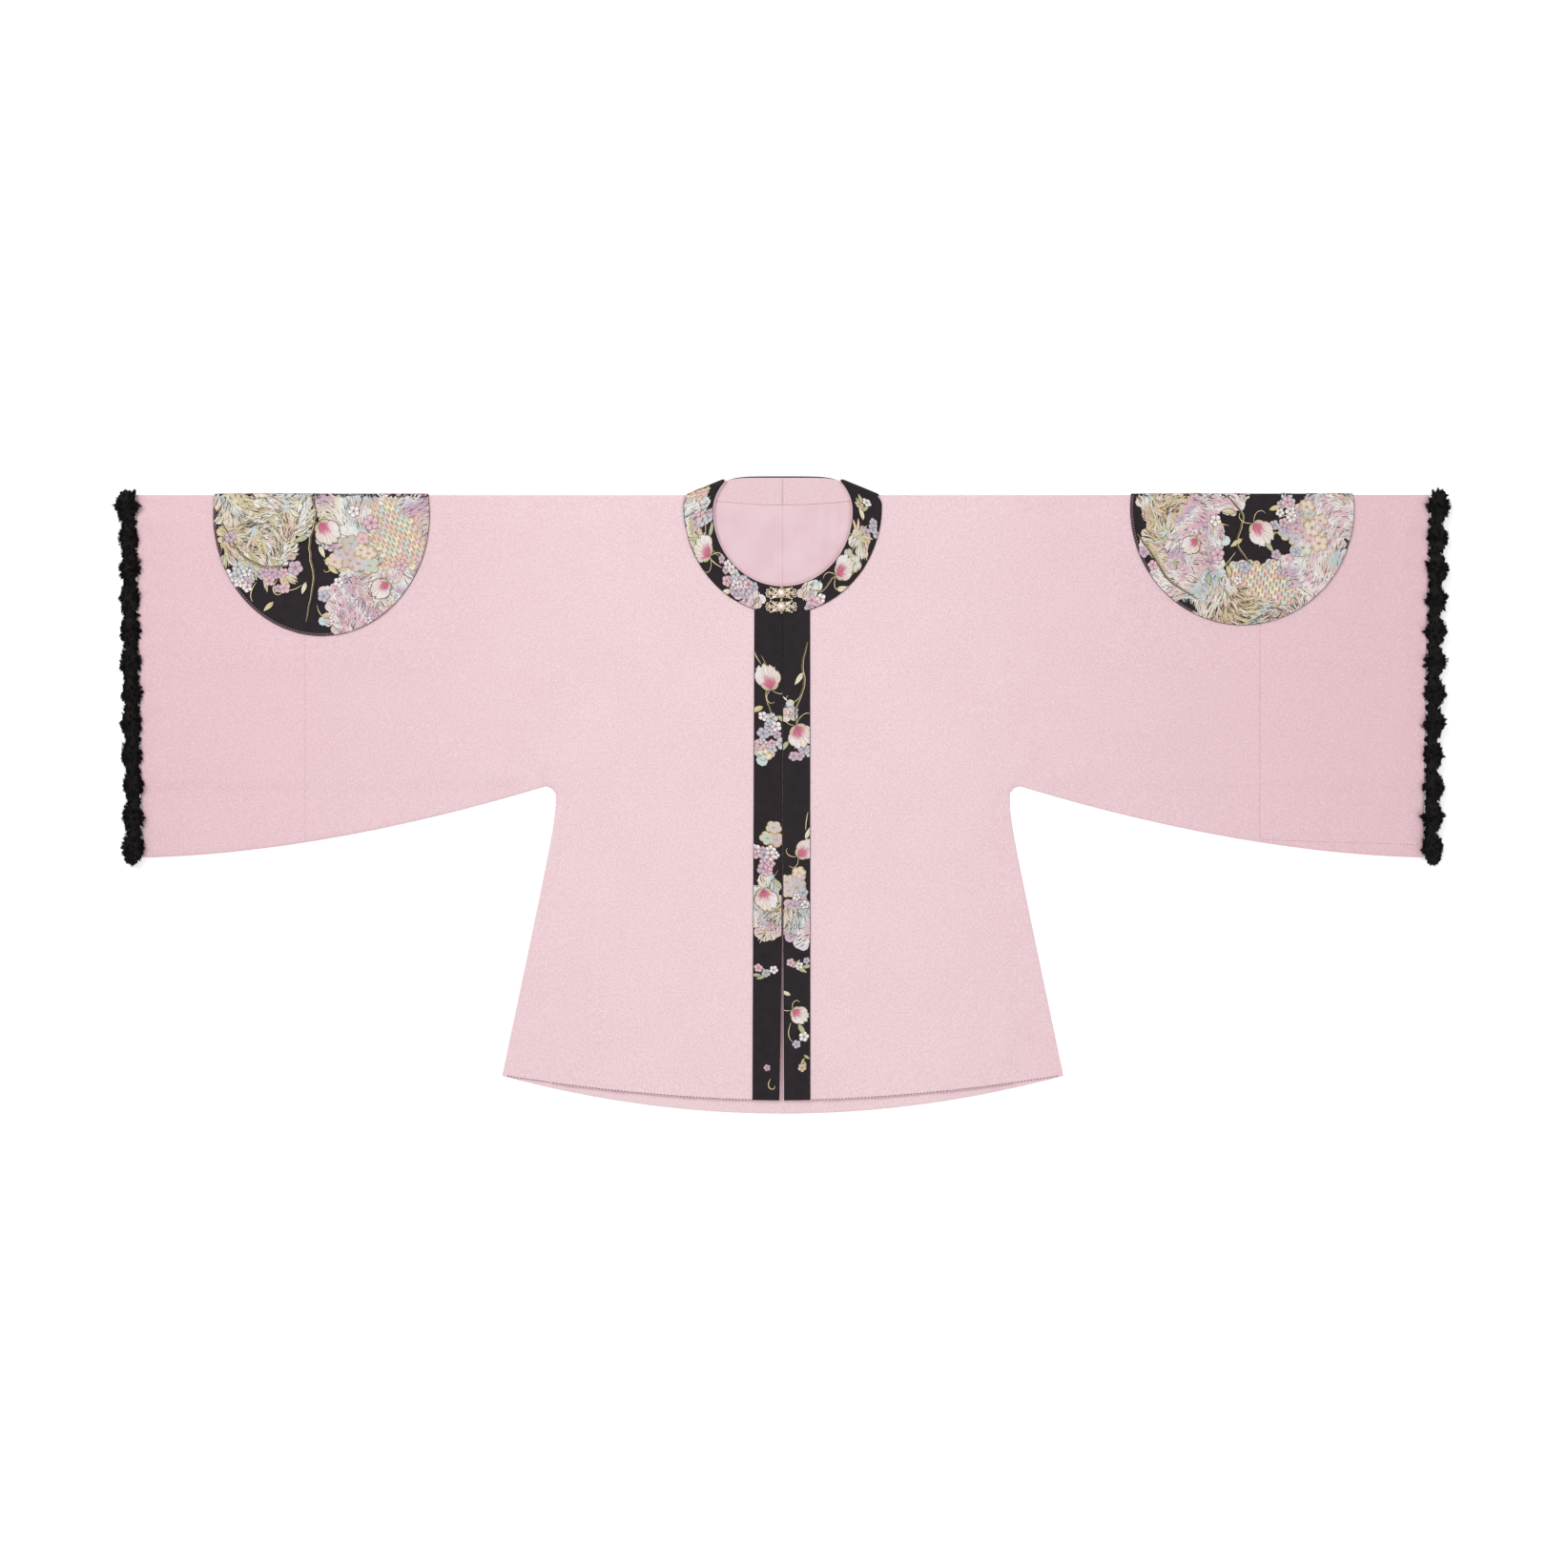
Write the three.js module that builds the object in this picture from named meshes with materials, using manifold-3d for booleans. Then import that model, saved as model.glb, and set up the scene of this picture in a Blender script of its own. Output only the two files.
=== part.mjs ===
// A short-bodied, wide-sleeved hanfu jacket laid flat, face up. Millimetres, +Z up, neck towards +Y.
// Each half is cut in one from front hem over the shoulder to back hem, so there is no shoulder seam.
// Below, x runs from the centre line out to the cuff and y is 0 on the shoulder fold. Every piece is
// worked out for the +X half, the wearer's left, and the other half is its mirror image.

import * as THREE from 'three';
import { mergeVertices } from 'three/addons/utils/BufferGeometryUtils.js';
import Module from 'manifold-3d';

const wasm = await Module();
wasm.setup();

// Cloths
const wool = 1.8;
const brocade = 1.2;
const collarBrocade = 1.4;
const liningCloth = 1.0;
const seamGap = 0.3;

// Outline of the body and sleeves
const seamX = 525;
const cuffTopX = 711;
const cuffLean = 6.5;
const cuffDepth = 399;
const underarmDepth = 321;
const underarmStartX = 262;
const underarmPower = 1.75;
const waistX = 250;
const waistDepth = 336;
const sideFlare = 0.211;
const sideEase = 25;
const hemHalf = 308;
const sideHemDepth = 639.5;
const frontHemDepth = 667;
const frontHemPower = 1.8;
const backHemDepth = 681;
const backHemPower = 2;

// How the layers lie: the turn at a folded edge, and the air between front and back
const edgeAir = 0.8;
const foldR = wool + edgeAir / 2;
const foldInnerR = edgeAir / 2;
const middleAir = 2;
const easeWidth = 30;
const foldAngles = [Math.PI / 4, 0, -Math.PI / 4];

// Neck and collar band
const collarOuter = { half: 109, centreY: -12, below: 119, above: 35 };
const collarInner = { half: 77, centreY: -18, below: 83, above: 58 };
const collarFoldOuterAngle = 16;
const collarFoldInnerAngle = 34;
const collarTopY = 19.4;
const backNeckDrop = 11;
const collarFoldZ = wool + middleAir - 0.15;
const facingOuterR = wool + 0.15;
const facingInnerR = 0.15;
const bandInnerR = facingOuterR + seamGap;
const bandOuterR = bandInnerR + collarBrocade;

// Lining that shows inside the neck
const liningHalf = 95;
const liningDepth = 122;

// Roundels folded over the shoulder: brocade ovals that the cloth under them rides over
const roundelLift = brocade + seamGap;
const roundelRise = { from: 345, to: 375, back: 660, end: 690, depth: 175, fade: 30 };

// Cuff trim: a fur strip tied into puffs, once round the cuff
const puffs = 12;
const furTop = 3.7;
const furBottom = -406;
const furSlotZ = 6.6;
const furSlotHalf = 0.2;
const furTurn = 5;
const tieWidth = 13.5;
const tieShare = 0.6;
const furSides = 8;
const cuffRise = 2.4;
const cuffAir = 3;
const cuffEaseFrom = 640;

// What differs between the two halves
const sides = [
  {
    name: 'left', sign: 1,
    frontEdge: { top: 0.2, hem: 0.2 }, placket: { top: 1.1, hem: 1.4, width: 29 },
    roundel: { x: 505, half: 123, front: 143.5, back: 112 },
    puffReach: [24, 22.4, 23.6, 22, 22.2, 22.6, 22.8, 22.8, 21, 23, 22.4, 22.8],
  },
  {
    name: 'right', sign: -1,
    frontEdge: { top: 1.4, hem: 3.4 }, placket: { top: 1.6, hem: 3.7, width: 29.6 },
    roundel: { x: 507, half: 119, front: 155.5, back: 112 },
    puffReach: [24, 20.6, 19.8, 21, 20.4, 21.4, 20.2, 22, 21.6, 20.4, 21.2, 22.6],
  },
];

// Soft swells in the upper layer: middle, half length, half width, direction in degrees and height
const swells = [
  { x: 610, y: -95, long: 80, wide: 24, turn: 82, height: 0.8 },
  { x: 655, y: -250, long: 70, wide: 20, turn: 95, height: 0.6 },
  { x: 400, y: -255, long: 110, wide: 26, turn: 20, height: 0.7 },
  { x: 235, y: -215, long: 95, wide: 26, turn: 52, height: 0.9 },
  { x: 150, y: -380, long: 120, wide: 34, turn: 78, height: 0.5 },
  { x: 262, y: -590, long: 46, wide: 13, turn: 84, height: 0.7 },
  { x: 205, y: -612, long: 44, wide: 12, turn: 88, height: 0.6 },
  { x: 128, y: -618, long: 48, wide: 14, turn: 91, height: 0.7 },
  { x: 82, y: -626, long: 40, wide: 11, turn: 93, height: 0.5 },
];

// Net sizes
const torsoColumns = 7;
const sleeveBodyColumns = 7;
const sleeveColumns = 5;
const upperRows = 8;
const lowerRows = 9;

const radians = (degrees) => (degrees * Math.PI) / 180;
const mix = (a, b, t) => a + (b - a) * t;
const smooth = (t) => {
  const c = Math.min(1, Math.max(0, t));
  return c * c * (3 - 2 * c);
};
const steps = (count) => Array.from({ length: count + 1 }, (_, i) => i / count);

// Outline curves. Depths are distances below the shoulder fold.
const sleeveDepth = (x) => {
  const left = Math.max(0, (cuffTopX - x) / (cuffTopX - underarmStartX));
  return cuffDepth - (cuffDepth - underarmDepth) * left ** underarmPower;
};
const sideX = (depth) => {
  const below = Math.max(0, depth - waistDepth);
  return waistX + sideFlare * (Math.hypot(below, sideEase) - sideEase);
};
const frontHem = (x) => frontHemDepth - (frontHemDepth - sideHemDepth) * (x / hemHalf) ** frontHemPower;
const backHem = (x) => backHemDepth - (backHemDepth - sideHemDepth) * (x / hemHalf) ** backHemPower;
const cuffX = (y) => cuffTopX - cuffLean * Math.min(1, Math.max(0, -y / cuffDepth));

// The rounded underarm corner: its middle, and the direction from there into the cloth
const corner = { x: 255, y: -322.5 };
const cornerIn = new THREE.Vector2(-0.62, 0.78).normalize();
const cornerFlat = { x: corner.x + cornerIn.x * foldR, y: corner.y + cornerIn.y * foldR };

// Heights of the lay
function liftAt(x, y) {
  const r = roundelRise;
  const across = smooth((x - r.from) / (r.to - r.from)) * (1 - smooth((x - r.back) / (r.end - r.back)));
  const down = 1 - smooth((-y - r.depth) / r.fade);
  const cuff = smooth((x - cuffEaseFrom) / (cuffTopX - cuffEaseFrom));
  return Math.max(roundelLift * across * down, cuffRise * cuff);
}

function swellAt(x, y) {
  let sum = 0;
  for (const s of swells) {
    const a = radians(s.turn);
    const along = ((x - s.x) * Math.cos(a) + (y - s.y) * Math.sin(a)) / s.long;
    const across = (-(x - s.x) * Math.sin(a) + (y - s.y) * Math.cos(a)) / s.wide;
    sum += s.height * Math.exp(-along * along - across * across);
  }
  return sum;
}

// The fold is fuller beside the neck, where the collar turns over with it
const shoulderAir = (x) => mix(middleAir, edgeAir, smooth((x - collarOuter.half) / easeWidth));
const shoulderR = (x) => wool + shoulderAir(x) / 2;

function airAt(x, y) {
  const toUnderarm = x > cornerFlat.x ? sleeveDepth(x) + y : Infinity;
  const toSide = y < cornerFlat.y ? sideX(-y) - x : Infinity;
  const cuff = smooth((x - cuffEaseFrom) / (cuffTopX - cuffEaseFrom));
  const middle = mix(middleAir, cuffAir, cuff) + swellAt(x, y);
  const belowFold = mix(shoulderAir(x), middle, smooth((-y - foldR) / easeWidth));
  return mix(edgeAir, belowFold, smooth((Math.min(toUnderarm, toSide) - foldR) / easeWidth));
}

const frontTop = (x, y) => liftAt(x, y) + 2 * wool + airAt(x, y);

// A point of the front or back layer: its place on the outside and on the inside of the cloth
const frontPoint = (x, y) => {
  const z = frontTop(x, y);
  return { outer: [x, y, z], inner: [x, y, z - wool] };
};
const backPoint = (x, y) => {
  const z = liftAt(x, y);
  return { outer: [x, y, z], inner: [x, y, z + wool] };
};

// A point of a folded edge. The angle is +90 degrees where the front begins and -90 at the back.
function turnPoint(edge, inward, angle, z, outerR, innerR) {
  const place = (r) => {
    const inset = outerR - r * Math.cos(angle);
    return [edge.x + inward.x * inset, edge.y + inward.y * inset, z + r * Math.sin(angle)];
  };
  return { outer: place(outerR), inner: place(innerR) };
}

const shoulderTurn = (x, angle, out = 0) => {
  const edge = { x, y: out };
  const r = shoulderR(x);
  return turnPoint(edge, { x: 0, y: -1 }, angle, liftAt(x, 0) + r, r + out, r - wool + out);
};

// A net of cloth points, closed into one solid wall: an outer face, an inner face and its rims
class ClothNet {
  constructor() {
    this.points = [];
    this.faces = [];
  }

  add(point) {
    this.points.push(point);
    return this.points.length - 1;
  }

  face(a, b, c) {
    if (a !== b && b !== c && c !== a) this.faces.push([a, b, c]);
  }

  // Joins neighbouring rows of points. Rows run away from the viewer's top, columns to the right.
  weave(rows) {
    for (let r = 0; r + 1 < rows.length; r++) {
      for (let c = 0; c + 1 < rows[r].length; c++) {
        this.face(rows[r][c], rows[r + 1][c], rows[r + 1][c + 1]);
        this.face(rows[r][c], rows[r + 1][c + 1], rows[r][c + 1]);
      }
    }
  }

  geometry() {
    const count = this.points.length;
    const triangles = [];
    const used = new Set(this.faces.flatMap(([a, b, c]) => [`${a},${b}`, `${b},${c}`, `${c},${a}`]));
    for (const [a, b, c] of this.faces) {
      triangles.push(a, b, c, c + count, b + count, a + count);
      for (const [from, to] of [[a, b], [b, c], [c, a]]) {
        if (used.has(`${to},${from}`)) continue;
        triangles.push(to, from, from + count, to, from + count, to + count);
      }
    }
    const places = [...this.points.map((p) => p.outer), ...this.points.map((p) => p.inner)];
    return indexed(places.flat(), triangles);
  }
}

function indexed(positions, triangles) {
  const geometry = new THREE.BufferGeometry();
  geometry.setAttribute('position', new THREE.Float32BufferAttribute(positions, 3));
  geometry.setIndex([...triangles]);
  return geometry;
}

function toSolid(geometry) {
  geometry.deleteAttribute('normal');
  geometry.deleteAttribute('uv');
  const merged = mergeVertices(geometry);
  const vertProperties = new Float32Array(merged.attributes.position.array);
  const triVerts = new Uint32Array(merged.index.array);
  return new wasm.Manifold(new wasm.Mesh({ numProp: 3, vertProperties, triVerts }));
}

function fromSolid(solid) {
  const mesh = solid.getMesh();
  return indexed([...mesh.vertProperties], [...mesh.triVerts]);
}

function block(outline, low, high) {
  const shape = new THREE.Shape(outline.map(([x, y]) => new THREE.Vector2(x, y)));
  const extruded = new THREE.ExtrudeGeometry(shape, { depth: high - low, bevelEnabled: false });
  return extruded.translate(0, 0, low);
}

// Half of the body: front and back in one, folded at the shoulder and closed down the side
function bodyHalf(side) {
  const net = new ClothNet();
  const frontEdgeAt = (y) => mix(side.frontEdge.top, side.frontEdge.hem, Math.min(1, -y / frontHemDepth));
  const sleevePart = steps(sleeveBodyColumns).slice(1);

  const underarm = sleevePart.map((t) => {
    const x = mix(corner.x, seamX - seamGap / 2, t);
    const ahead = sleeveDepth(x + 1) - sleeveDepth(x - 1);
    const inward = t === 1 ? new THREE.Vector2(0, 1) : new THREE.Vector2(ahead / 2, 1).normalize();
    return { edge: { x, y: -sleeveDepth(x) }, inward };
  });

  const flatRow = (t, startX, layer) => {
    const down = (x, foot) => net.add(layer(x, mix(-shoulderR(x), foot, t)));
    return [
      ...steps(torsoColumns).map((u) => down(mix(startX, cornerFlat.x, u), cornerFlat.y)),
      ...underarm.map(({ edge, inward }) => down(edge.x + inward.x * foldR, edge.y + inward.y * foldR)),
    ];
  };
  const front = steps(upperRows).map((t) => flatRow(t, frontEdgeAt(cornerFlat.y * t), frontPoint));
  const back = steps(upperRows).map((t) => flatRow(t, seamGap / 2, backPoint));
  const topXs = front[0].map((id) => net.points[id].outer[0]);
  const shoulder = foldAngles.map((angle) => topXs.map((x) => net.add(shoulderTurn(x, angle))));
  net.weave([...back.toReversed(), ...shoulder.toReversed(), ...front]);

  const turns = (edge, inward) => foldAngles.map((angle) => {
    const z = liftAt(edge.x, edge.y) + foldR;
    return net.add(turnPoint(edge, inward, angle, z, foldR, foldInnerR));
  });
  const cornerTurns = turns(corner, cornerIn);
  const underTurns = [cornerTurns, ...underarm.map(({ edge, inward }) => turns(edge, inward))];
  const underRows = foldAngles.map((_, k) => underTurns.map((ids) => ids[k]));
  const sleeveOf = (row) => row.slice(torsoColumns);
  net.weave([sleeveOf(front.at(-1)), ...underRows, sleeveOf(back.at(-1))]);

  const lower = steps(lowerRows).slice(1).map((t) => {
    const depth = mix(-corner.y, sideHemDepth, t ** 1.15);
    const slope = sideX(depth + 1) - sideX(depth - 1);
    const inward = t === 1 ? new THREE.Vector2(-1, 0) : new THREE.Vector2(-1, -slope / 2).normalize();
    const edge = { x: sideX(depth), y: -depth };
    const foot = { x: edge.x + inward.x * foldR, y: edge.y + inward.y * foldR };
    const share = (depth + corner.y) / (sideHemDepth + corner.y);
    const flat = (u, startX, hem, layer) => {
      const x = mix(startX, foot.x, u);
      const spread = mix(cornerFlat.y, -hem(x), share);
      return net.add(layer(x, mix(spread, foot.y, u === 1 ? 1 : 0)));
    };
    const acrossFront = steps(torsoColumns).map((u) => flat(u, frontEdgeAt(-depth), frontHem, frontPoint));
    const acrossBack = steps(torsoColumns).map((u) => flat(u, seamGap / 2, backHem, backPoint));
    return [...acrossFront, ...turns(edge, inward), ...acrossBack.toReversed()];
  });
  const torsoOf = (row) => row.slice(0, torsoColumns + 1);
  const waist = [...torsoOf(front.at(-1)), ...cornerTurns, ...torsoOf(back.at(-1)).toReversed()];
  net.weave([waist, ...lower]);

  return fromSolid(toSolid(net.geometry()).subtract(neckHole('front')).subtract(neckHole('back')));
}

const ovalPoint = (oval, degrees, out = 0) => {
  const a = radians(degrees);
  const tall = Math.sin(a) < 0 ? oval.below : oval.above;
  return { x: (oval.half + out) * Math.cos(a), y: oval.centreY + (tall + out) * Math.sin(a) };
};

// The line across the collar where it turns over the shoulder, and the way it bulges from there
const collarFold = [
  ovalPoint(collarInner, collarFoldInnerAngle),
  ovalPoint(collarOuter, collarFoldOuterAngle),
];
const foldRun = new THREE.Vector2(collarFold[0].x - collarFold[1].x, collarFold[0].y - collarFold[1].y);
const foldOut = new THREE.Vector2(foldRun.y, -foldRun.x).normalize();

// Height of the back neck seam at x
const backNeckY = (x) => mix(-backNeckDrop, collarFold[1].y, (x / collarFold[1].x) ** 2);

// What is cut from a layer for the neck
function neckHole(layer) {
  const clear = 12;
  const neckSteps = 30;
  const top = collarTopY + clear;
  const reach = collarFold[1].x + seamGap + foldOut.x * bandOuterR;
  const arc = steps(neckSteps).map((t) => {
    if (layer === 'back') {
      const x = mix(-reach, reach, t);
      return [x, backNeckY(x) - seamGap];
    }
    const end = collarFoldOuterAngle;
    const { x, y } = ovalPoint(collarOuter, mix(-180 - end, end, t), seamGap);
    return [x, y];
  });
  const turned = arc.at(-1)[1] + foldOut.y * bandOuterR;
  const outline = [...arc, [reach, turned], [reach, top], [-reach, top], [-reach, turned]];
  const [low, high] = layer === 'front' ? [foldR - seamGap, foldR + clear] : [-clear, foldR];
  return toSolid(block(outline, low, high));
}

// Sleeve extension: a flattened tube from the sleeve seam to the cuff
function sleeveTube() {
  const net = new ClothNet();
  const columns = steps(sleeveColumns).map((t) => {
    const xAt = (y) => mix(seamX + seamGap / 2, cuffX(y), t);
    const bottomX = xAt(-cuffDepth);
    const edge = { x: bottomX, y: -sleeveDepth(bottomX) };
    const inward = new THREE.Vector2(0, 1);
    const z = liftAt(edge.x, edge.y) + foldR;
    const flat = (layer) => steps(upperRows).map((s) => {
      const y = mix(-foldR, edge.y + foldR, s);
      return net.add(layer(xAt(y), y));
    });
    const over = foldAngles.map((angle) => net.add(shoulderTurn(xAt(0), angle)));
    const under = foldAngles.map((angle) => {
      return net.add(turnPoint(edge, inward, angle, z, foldR, foldInnerR));
    });
    const ring = [...flat(backPoint).toReversed(), ...over.toReversed(), ...flat(frontPoint), ...under];
    return [...ring, ring[0]];
  });
  const rows = columns[0].map((_, r) => columns.map((column) => column[r]));
  net.weave(rows);
  return net.geometry();
}

// Collar band, or its facing: round the front of the neck, over the shoulder and along the back neck
function collarHalf(side, outerR, innerR) {
  const net = new ClothNet();
  const frontSections = 16;
  const backSections = 8;
  const across = [0, 0.5, 1];
  const clearOfCentre = (p) => ({ x: Math.max(p.x, side.frontEdge.top + seamGap), y: p.y });
  const layerAt = (z, wall) => (p) => ({ outer: [p.x, p.y, z], inner: [p.x, p.y, z - wall] });
  const wall = outerR - innerR;

  const pair = (inner, outer) => across.map((w) => ({ x: mix(inner.x, outer.x, w), y: mix(inner.y, outer.y, w) }));
  const frontPair = (t) => pair(
    clearOfCentre(ovalPoint(collarInner, mix(-90, collarFoldInnerAngle, t))),
    clearOfCentre(ovalPoint(collarOuter, mix(-90, collarFoldOuterAngle, t))),
  );
  const fold = frontPair(1);
  const backPair = (t) => {
    const topX = mix(fold[0].x, seamGap / 2, t);
    const neckX = mix(fold[2].x, seamGap / 2, t);
    const topY = collarTopY - (collarTopY - fold[0].y) * (1 - t) ** 6;
    return pair({ x: topX, y: topY }, { x: neckX, y: backNeckY(neckX) });
  };

  const sections = [
    ...steps(frontSections).map((t) => frontPair(t).map(layerAt(collarFoldZ + outerR, wall))),
    ...foldAngles.map((angle) => fold.map((p) => {
      const edge = { x: p.x + foldOut.x * outerR, y: p.y + foldOut.y * outerR };
      return turnPoint(edge, { x: -foldOut.x, y: -foldOut.y }, angle, collarFoldZ, outerR, innerR);
    })),
    ...steps(backSections).map((t) => backPair(t).map(layerAt(collarFoldZ - outerR, -wall))),
  ].map((section) => section.map((point) => net.add(point)));
  net.weave(across.map((_, w) => sections.map((section) => section[w])));
  return net.geometry();
}

// Lining seen through the neck hole, lying on the back
function liningHalfPiece() {
  const net = new ClothNet();
  const low = wool + seamGap;
  const rows = steps(6).map((s) => steps(6).map((t) => {
    const x = mix(seamGap / 2, liningHalf, t);
    const y = mix(backNeckY(x) - seamGap, -liningDepth, s);
    return net.add({ outer: [x, y, low + liningCloth], inner: [x, y, low] });
  }));
  net.weave(rows);
  return net.geometry();
}

// Straight band down the front edge
function placketStrip(side) {
  const net = new ClothNet();
  const { top, hem, width } = side.placket;
  const endGap = 0.8;
  const rows = steps(20).map((s) => [0, 0.5, 1].map((w) => {
    const x = mix(top, hem, s) + width * w;
    const collarY = ovalPoint(collarOuter, -Math.acos(x / collarOuter.half) * (180 / Math.PI)).y;
    const y = mix(collarY - seamGap, -frontHem(x) + endGap, s);
    const z = frontTop(x, y) + seamGap;
    return net.add({ outer: [x, y, z + brocade], inner: [x, y, z] });
  }));
  net.weave(rows);
  return net.geometry();
}

// Oval roundel: lies on the front, turns over the shoulder fold and goes on under the back
function roundel(side) {
  const net = new ClothNet();
  const { x: middleX, half, front, back } = side.roundel;
  const columns = steps(8).map((t) => mix(-1, 1, t));
  const centreY = -(front - back) / 2;
  const tall = (front + back) / 2;
  const widthAt = (y) => half * Math.sqrt(Math.max(0, 1 - ((y - centreY) / tall) ** 2));
  const slopeShares = (count) => steps(count).map((t) => Math.sin((t * Math.PI) / 2));
  const lay = (layer, y, sign) => {
    const apex = widthAt(y) < 1 ? net.add(dress(layer(middleX, y), sign)) : null;
    return columns.map((c) => apex ?? net.add(dress(layer(middleX + c * widthAt(y), y), sign)));
  };
  const dress = ({ outer: [x, y, z] }, sign) => ({
    outer: [x, y, z + sign * (seamGap + brocade)],
    inner: [x, y, z + sign * seamGap],
  });
  const frontRows = slopeShares(7).map((t) => lay(frontPoint, mix(-foldR, -front, t), 1));
  const turnRows = foldAngles.map((angle) => columns.map((c) => {
    const x = middleX + c * widthAt(0);
    const place = (out) => shoulderTurn(x, angle, out).outer;
    return net.add({ outer: place(seamGap + brocade), inner: place(seamGap) });
  }));
  const backRows = slopeShares(6).map((t) => {
    const y = mix(-foldR, -back, t);
    const mirrored = { y: -y };
    const apex = widthAt(mirrored.y) < 1;
    const point = (x) => net.add(dress(backPoint(x, y), -1));
    const shared = apex ? point(middleX) : null;
    return columns.map((c) => shared ?? point(middleX + c * widthAt(mirrored.y)));
  });
  net.weave([...backRows.toReversed(), ...turnRows.toReversed(), ...frontRows]);
  return net.geometry();
}

// Fur trim: puffs between ties, down the front of the cuff, round its foot and back up behind
function furCuff(side) {
  const perPuff = 3;
  const slotTop = furTop - furTurn - furSlotHalf;
  const slotFoot = furBottom + furTurn + furSlotHalf;
  const puffAt = (share) => {
    const place = Math.min(share * puffs, puffs - 1e-6);
    const index = Math.floor(place);
    const swell = Math.sin((place - index) * Math.PI) ** 0.7;
    return { width: mix(tieWidth, side.puffReach[index], swell), swell };
  };
  const strand = (thick, outward) => steps(puffs * perPuff).map((share) => {
    const { width, swell } = puffAt(share);
    const end = Math.min(share, 1 - share) * puffs < 0.3;
    const deep = thick * mix(tieShare, 1, swell);
    return {
      y: mix(slotTop, slotFoot, share),
      width: end ? Math.max(width, 19) : width,
      thick: end ? Math.min(Math.max(deep, furTurn), thick) : deep,
      out: { y: 0, z: outward },
    };
  });
  const front = strand(10, 1);
  const back = strand(furSlotZ - furSlotHalf, -1);
  const endTurn = (y, sign) => [45, 0, -45].map((degrees) => ({
    y,
    width: 18.5,
    thick: furTurn,
    out: { y: sign * Math.cos(radians(degrees)), z: Math.sin(radians(degrees)) },
  }));
  const stations = [
    ...front,
    ...endTurn(slotFoot, -1),
    ...back.toReversed(),
    ...endTurn(slotTop, 1).toReversed(),
  ];
  const places = stations.flatMap(({ y, width, thick, out }) => steps(furSides).slice(0, -1).map((t) => {
    const a = t * Math.PI * 2;
    const offset = furSlotHalf + (thick / 2) * (1 + Math.sin(a));
    const x = cuffX(y) + seamGap + (width / 2) * (1 + Math.cos(a));
    return [x, y + out.y * offset, furSlotZ + out.z * offset];
  }));
  const triangles = stations.flatMap((_, s) => steps(furSides).slice(0, -1).flatMap((_, k) => {
    const next = (s + 1) % stations.length;
    const side2 = (k + 1) % furSides;
    const [a, b, c, d] = [s, s, next, next].map((at, i) => at * furSides + (i === 1 || i === 2 ? side2 : k));
    return [a, b, c, a, c, d];
  }));
  return indexed(places.flat(), triangles);
}

// Clasps: two lobed plates and a pearl in a cup, across the collar's front
const claspLength = 34;
const claspTall = 14;
const claspX = -1.6;
const claspPlate = 1.2;
const cupR = 4;
const cupTall = 2.2;
const pearlR = 3;
const clasps = [
  { name: 'upper', y: -108.4 },
  { name: 'lower', y: -123.2 },
];
const claspFloor = collarFoldZ + bandOuterR + seamGap;

function claspPlateOutline(y, sign) {
  const lobes = 5;
  const middle = claspX + (sign * claspLength) / 4;
  return steps(40).slice(0, -1).map((t) => {
    const a = t * Math.PI * 2;
    const r = 0.78 + 0.22 * Math.abs(Math.cos((a * lobes) / 2));
    return [middle + sign * r * (claspLength / 4 + 0.6) * Math.cos(a), y + r * (claspTall / 2) * Math.sin(a)];
  });
}

function cup(y, radius, low, high) {
  const outline = steps(16).slice(0, -1).map((t) => {
    const a = t * Math.PI * 2;
    return [claspX + radius * Math.cos(a), y + radius * Math.sin(a)];
  });
  return toSolid(block(outline, low, high));
}

// The plate that carries the cup, and the plate that stops short of it
function claspHalf(y, sign, carriesCup) {
  const outline = claspPlateOutline(y, sign);
  const ordered = sign > 0 ? outline : outline.toReversed();
  const plate = toSolid(block(ordered, claspFloor, claspFloor + claspPlate));
  if (carriesCup) {
    const half = toSolid(block(
      [[claspX - cupR - 1, y - claspTall], [claspX, y - claspTall], [claspX, y + claspTall],
        [claspX - cupR - 1, y + claspTall]],
      claspFloor - 1,
      claspFloor + claspPlate + 1,
    ));
    return fromSolid(plate.subtract(half).add(cup(y, cupR, claspFloor, claspFloor + cupTall)));
  }
  return fromSolid(plate.subtract(cup(y, cupR + seamGap, claspFloor - 1, claspFloor + cupTall)));
}

function pearl(y) {
  const low = claspFloor + cupTall + seamGap;
  const flat = 0.45;
  const profile = steps(6).map((t) => {
    const a = mix(-flat * Math.PI, Math.PI / 2, t);
    return new THREE.Vector2(pearlR * Math.cos(a), pearlR * Math.sin(a));
  });
  const closed = [new THREE.Vector2(0, profile[0].y), ...profile.slice(0, -1), new THREE.Vector2(0, pearlR)];
  const body = new THREE.LatheGeometry(closed, 14).rotateX(Math.PI / 2);
  body.translate(claspX, y, low - profile[0].y);
  return fromSolid(toSolid(body));
}

function mirrored(geometry) {
  const places = Array.from(geometry.attributes.position.array, (v, i) => (i % 3 === 0 ? -v : v));
  const triangles = Array.from(geometry.index.array);
  for (let i = 0; i < triangles.length; i += 3) {
    [triangles[i], triangles[i + 1]] = [triangles[i + 1], triangles[i]];
  }
  return indexed(places, triangles);
}

const finishes = {
  wool: { color: 0xe9cad0, roughness: 0.95, metalness: 0 },
  lining: { color: 0xe8cad2, roughness: 0.6, metalness: 0 },
  brocade: { color: 0x2f2a2d, roughness: 0.55, metalness: 0 },
  fur: { color: 0x1f1c1b, roughness: 0.9, metalness: 0 },
  gold: { color: 0xd9bd8e, roughness: 0.3, metalness: 1 },
  pearl: { color: 0xf7efe2, roughness: 0.2, metalness: 0 },
};

const garment = new THREE.Group();
const jacket = new THREE.Group();
garment.add(jacket);
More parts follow.
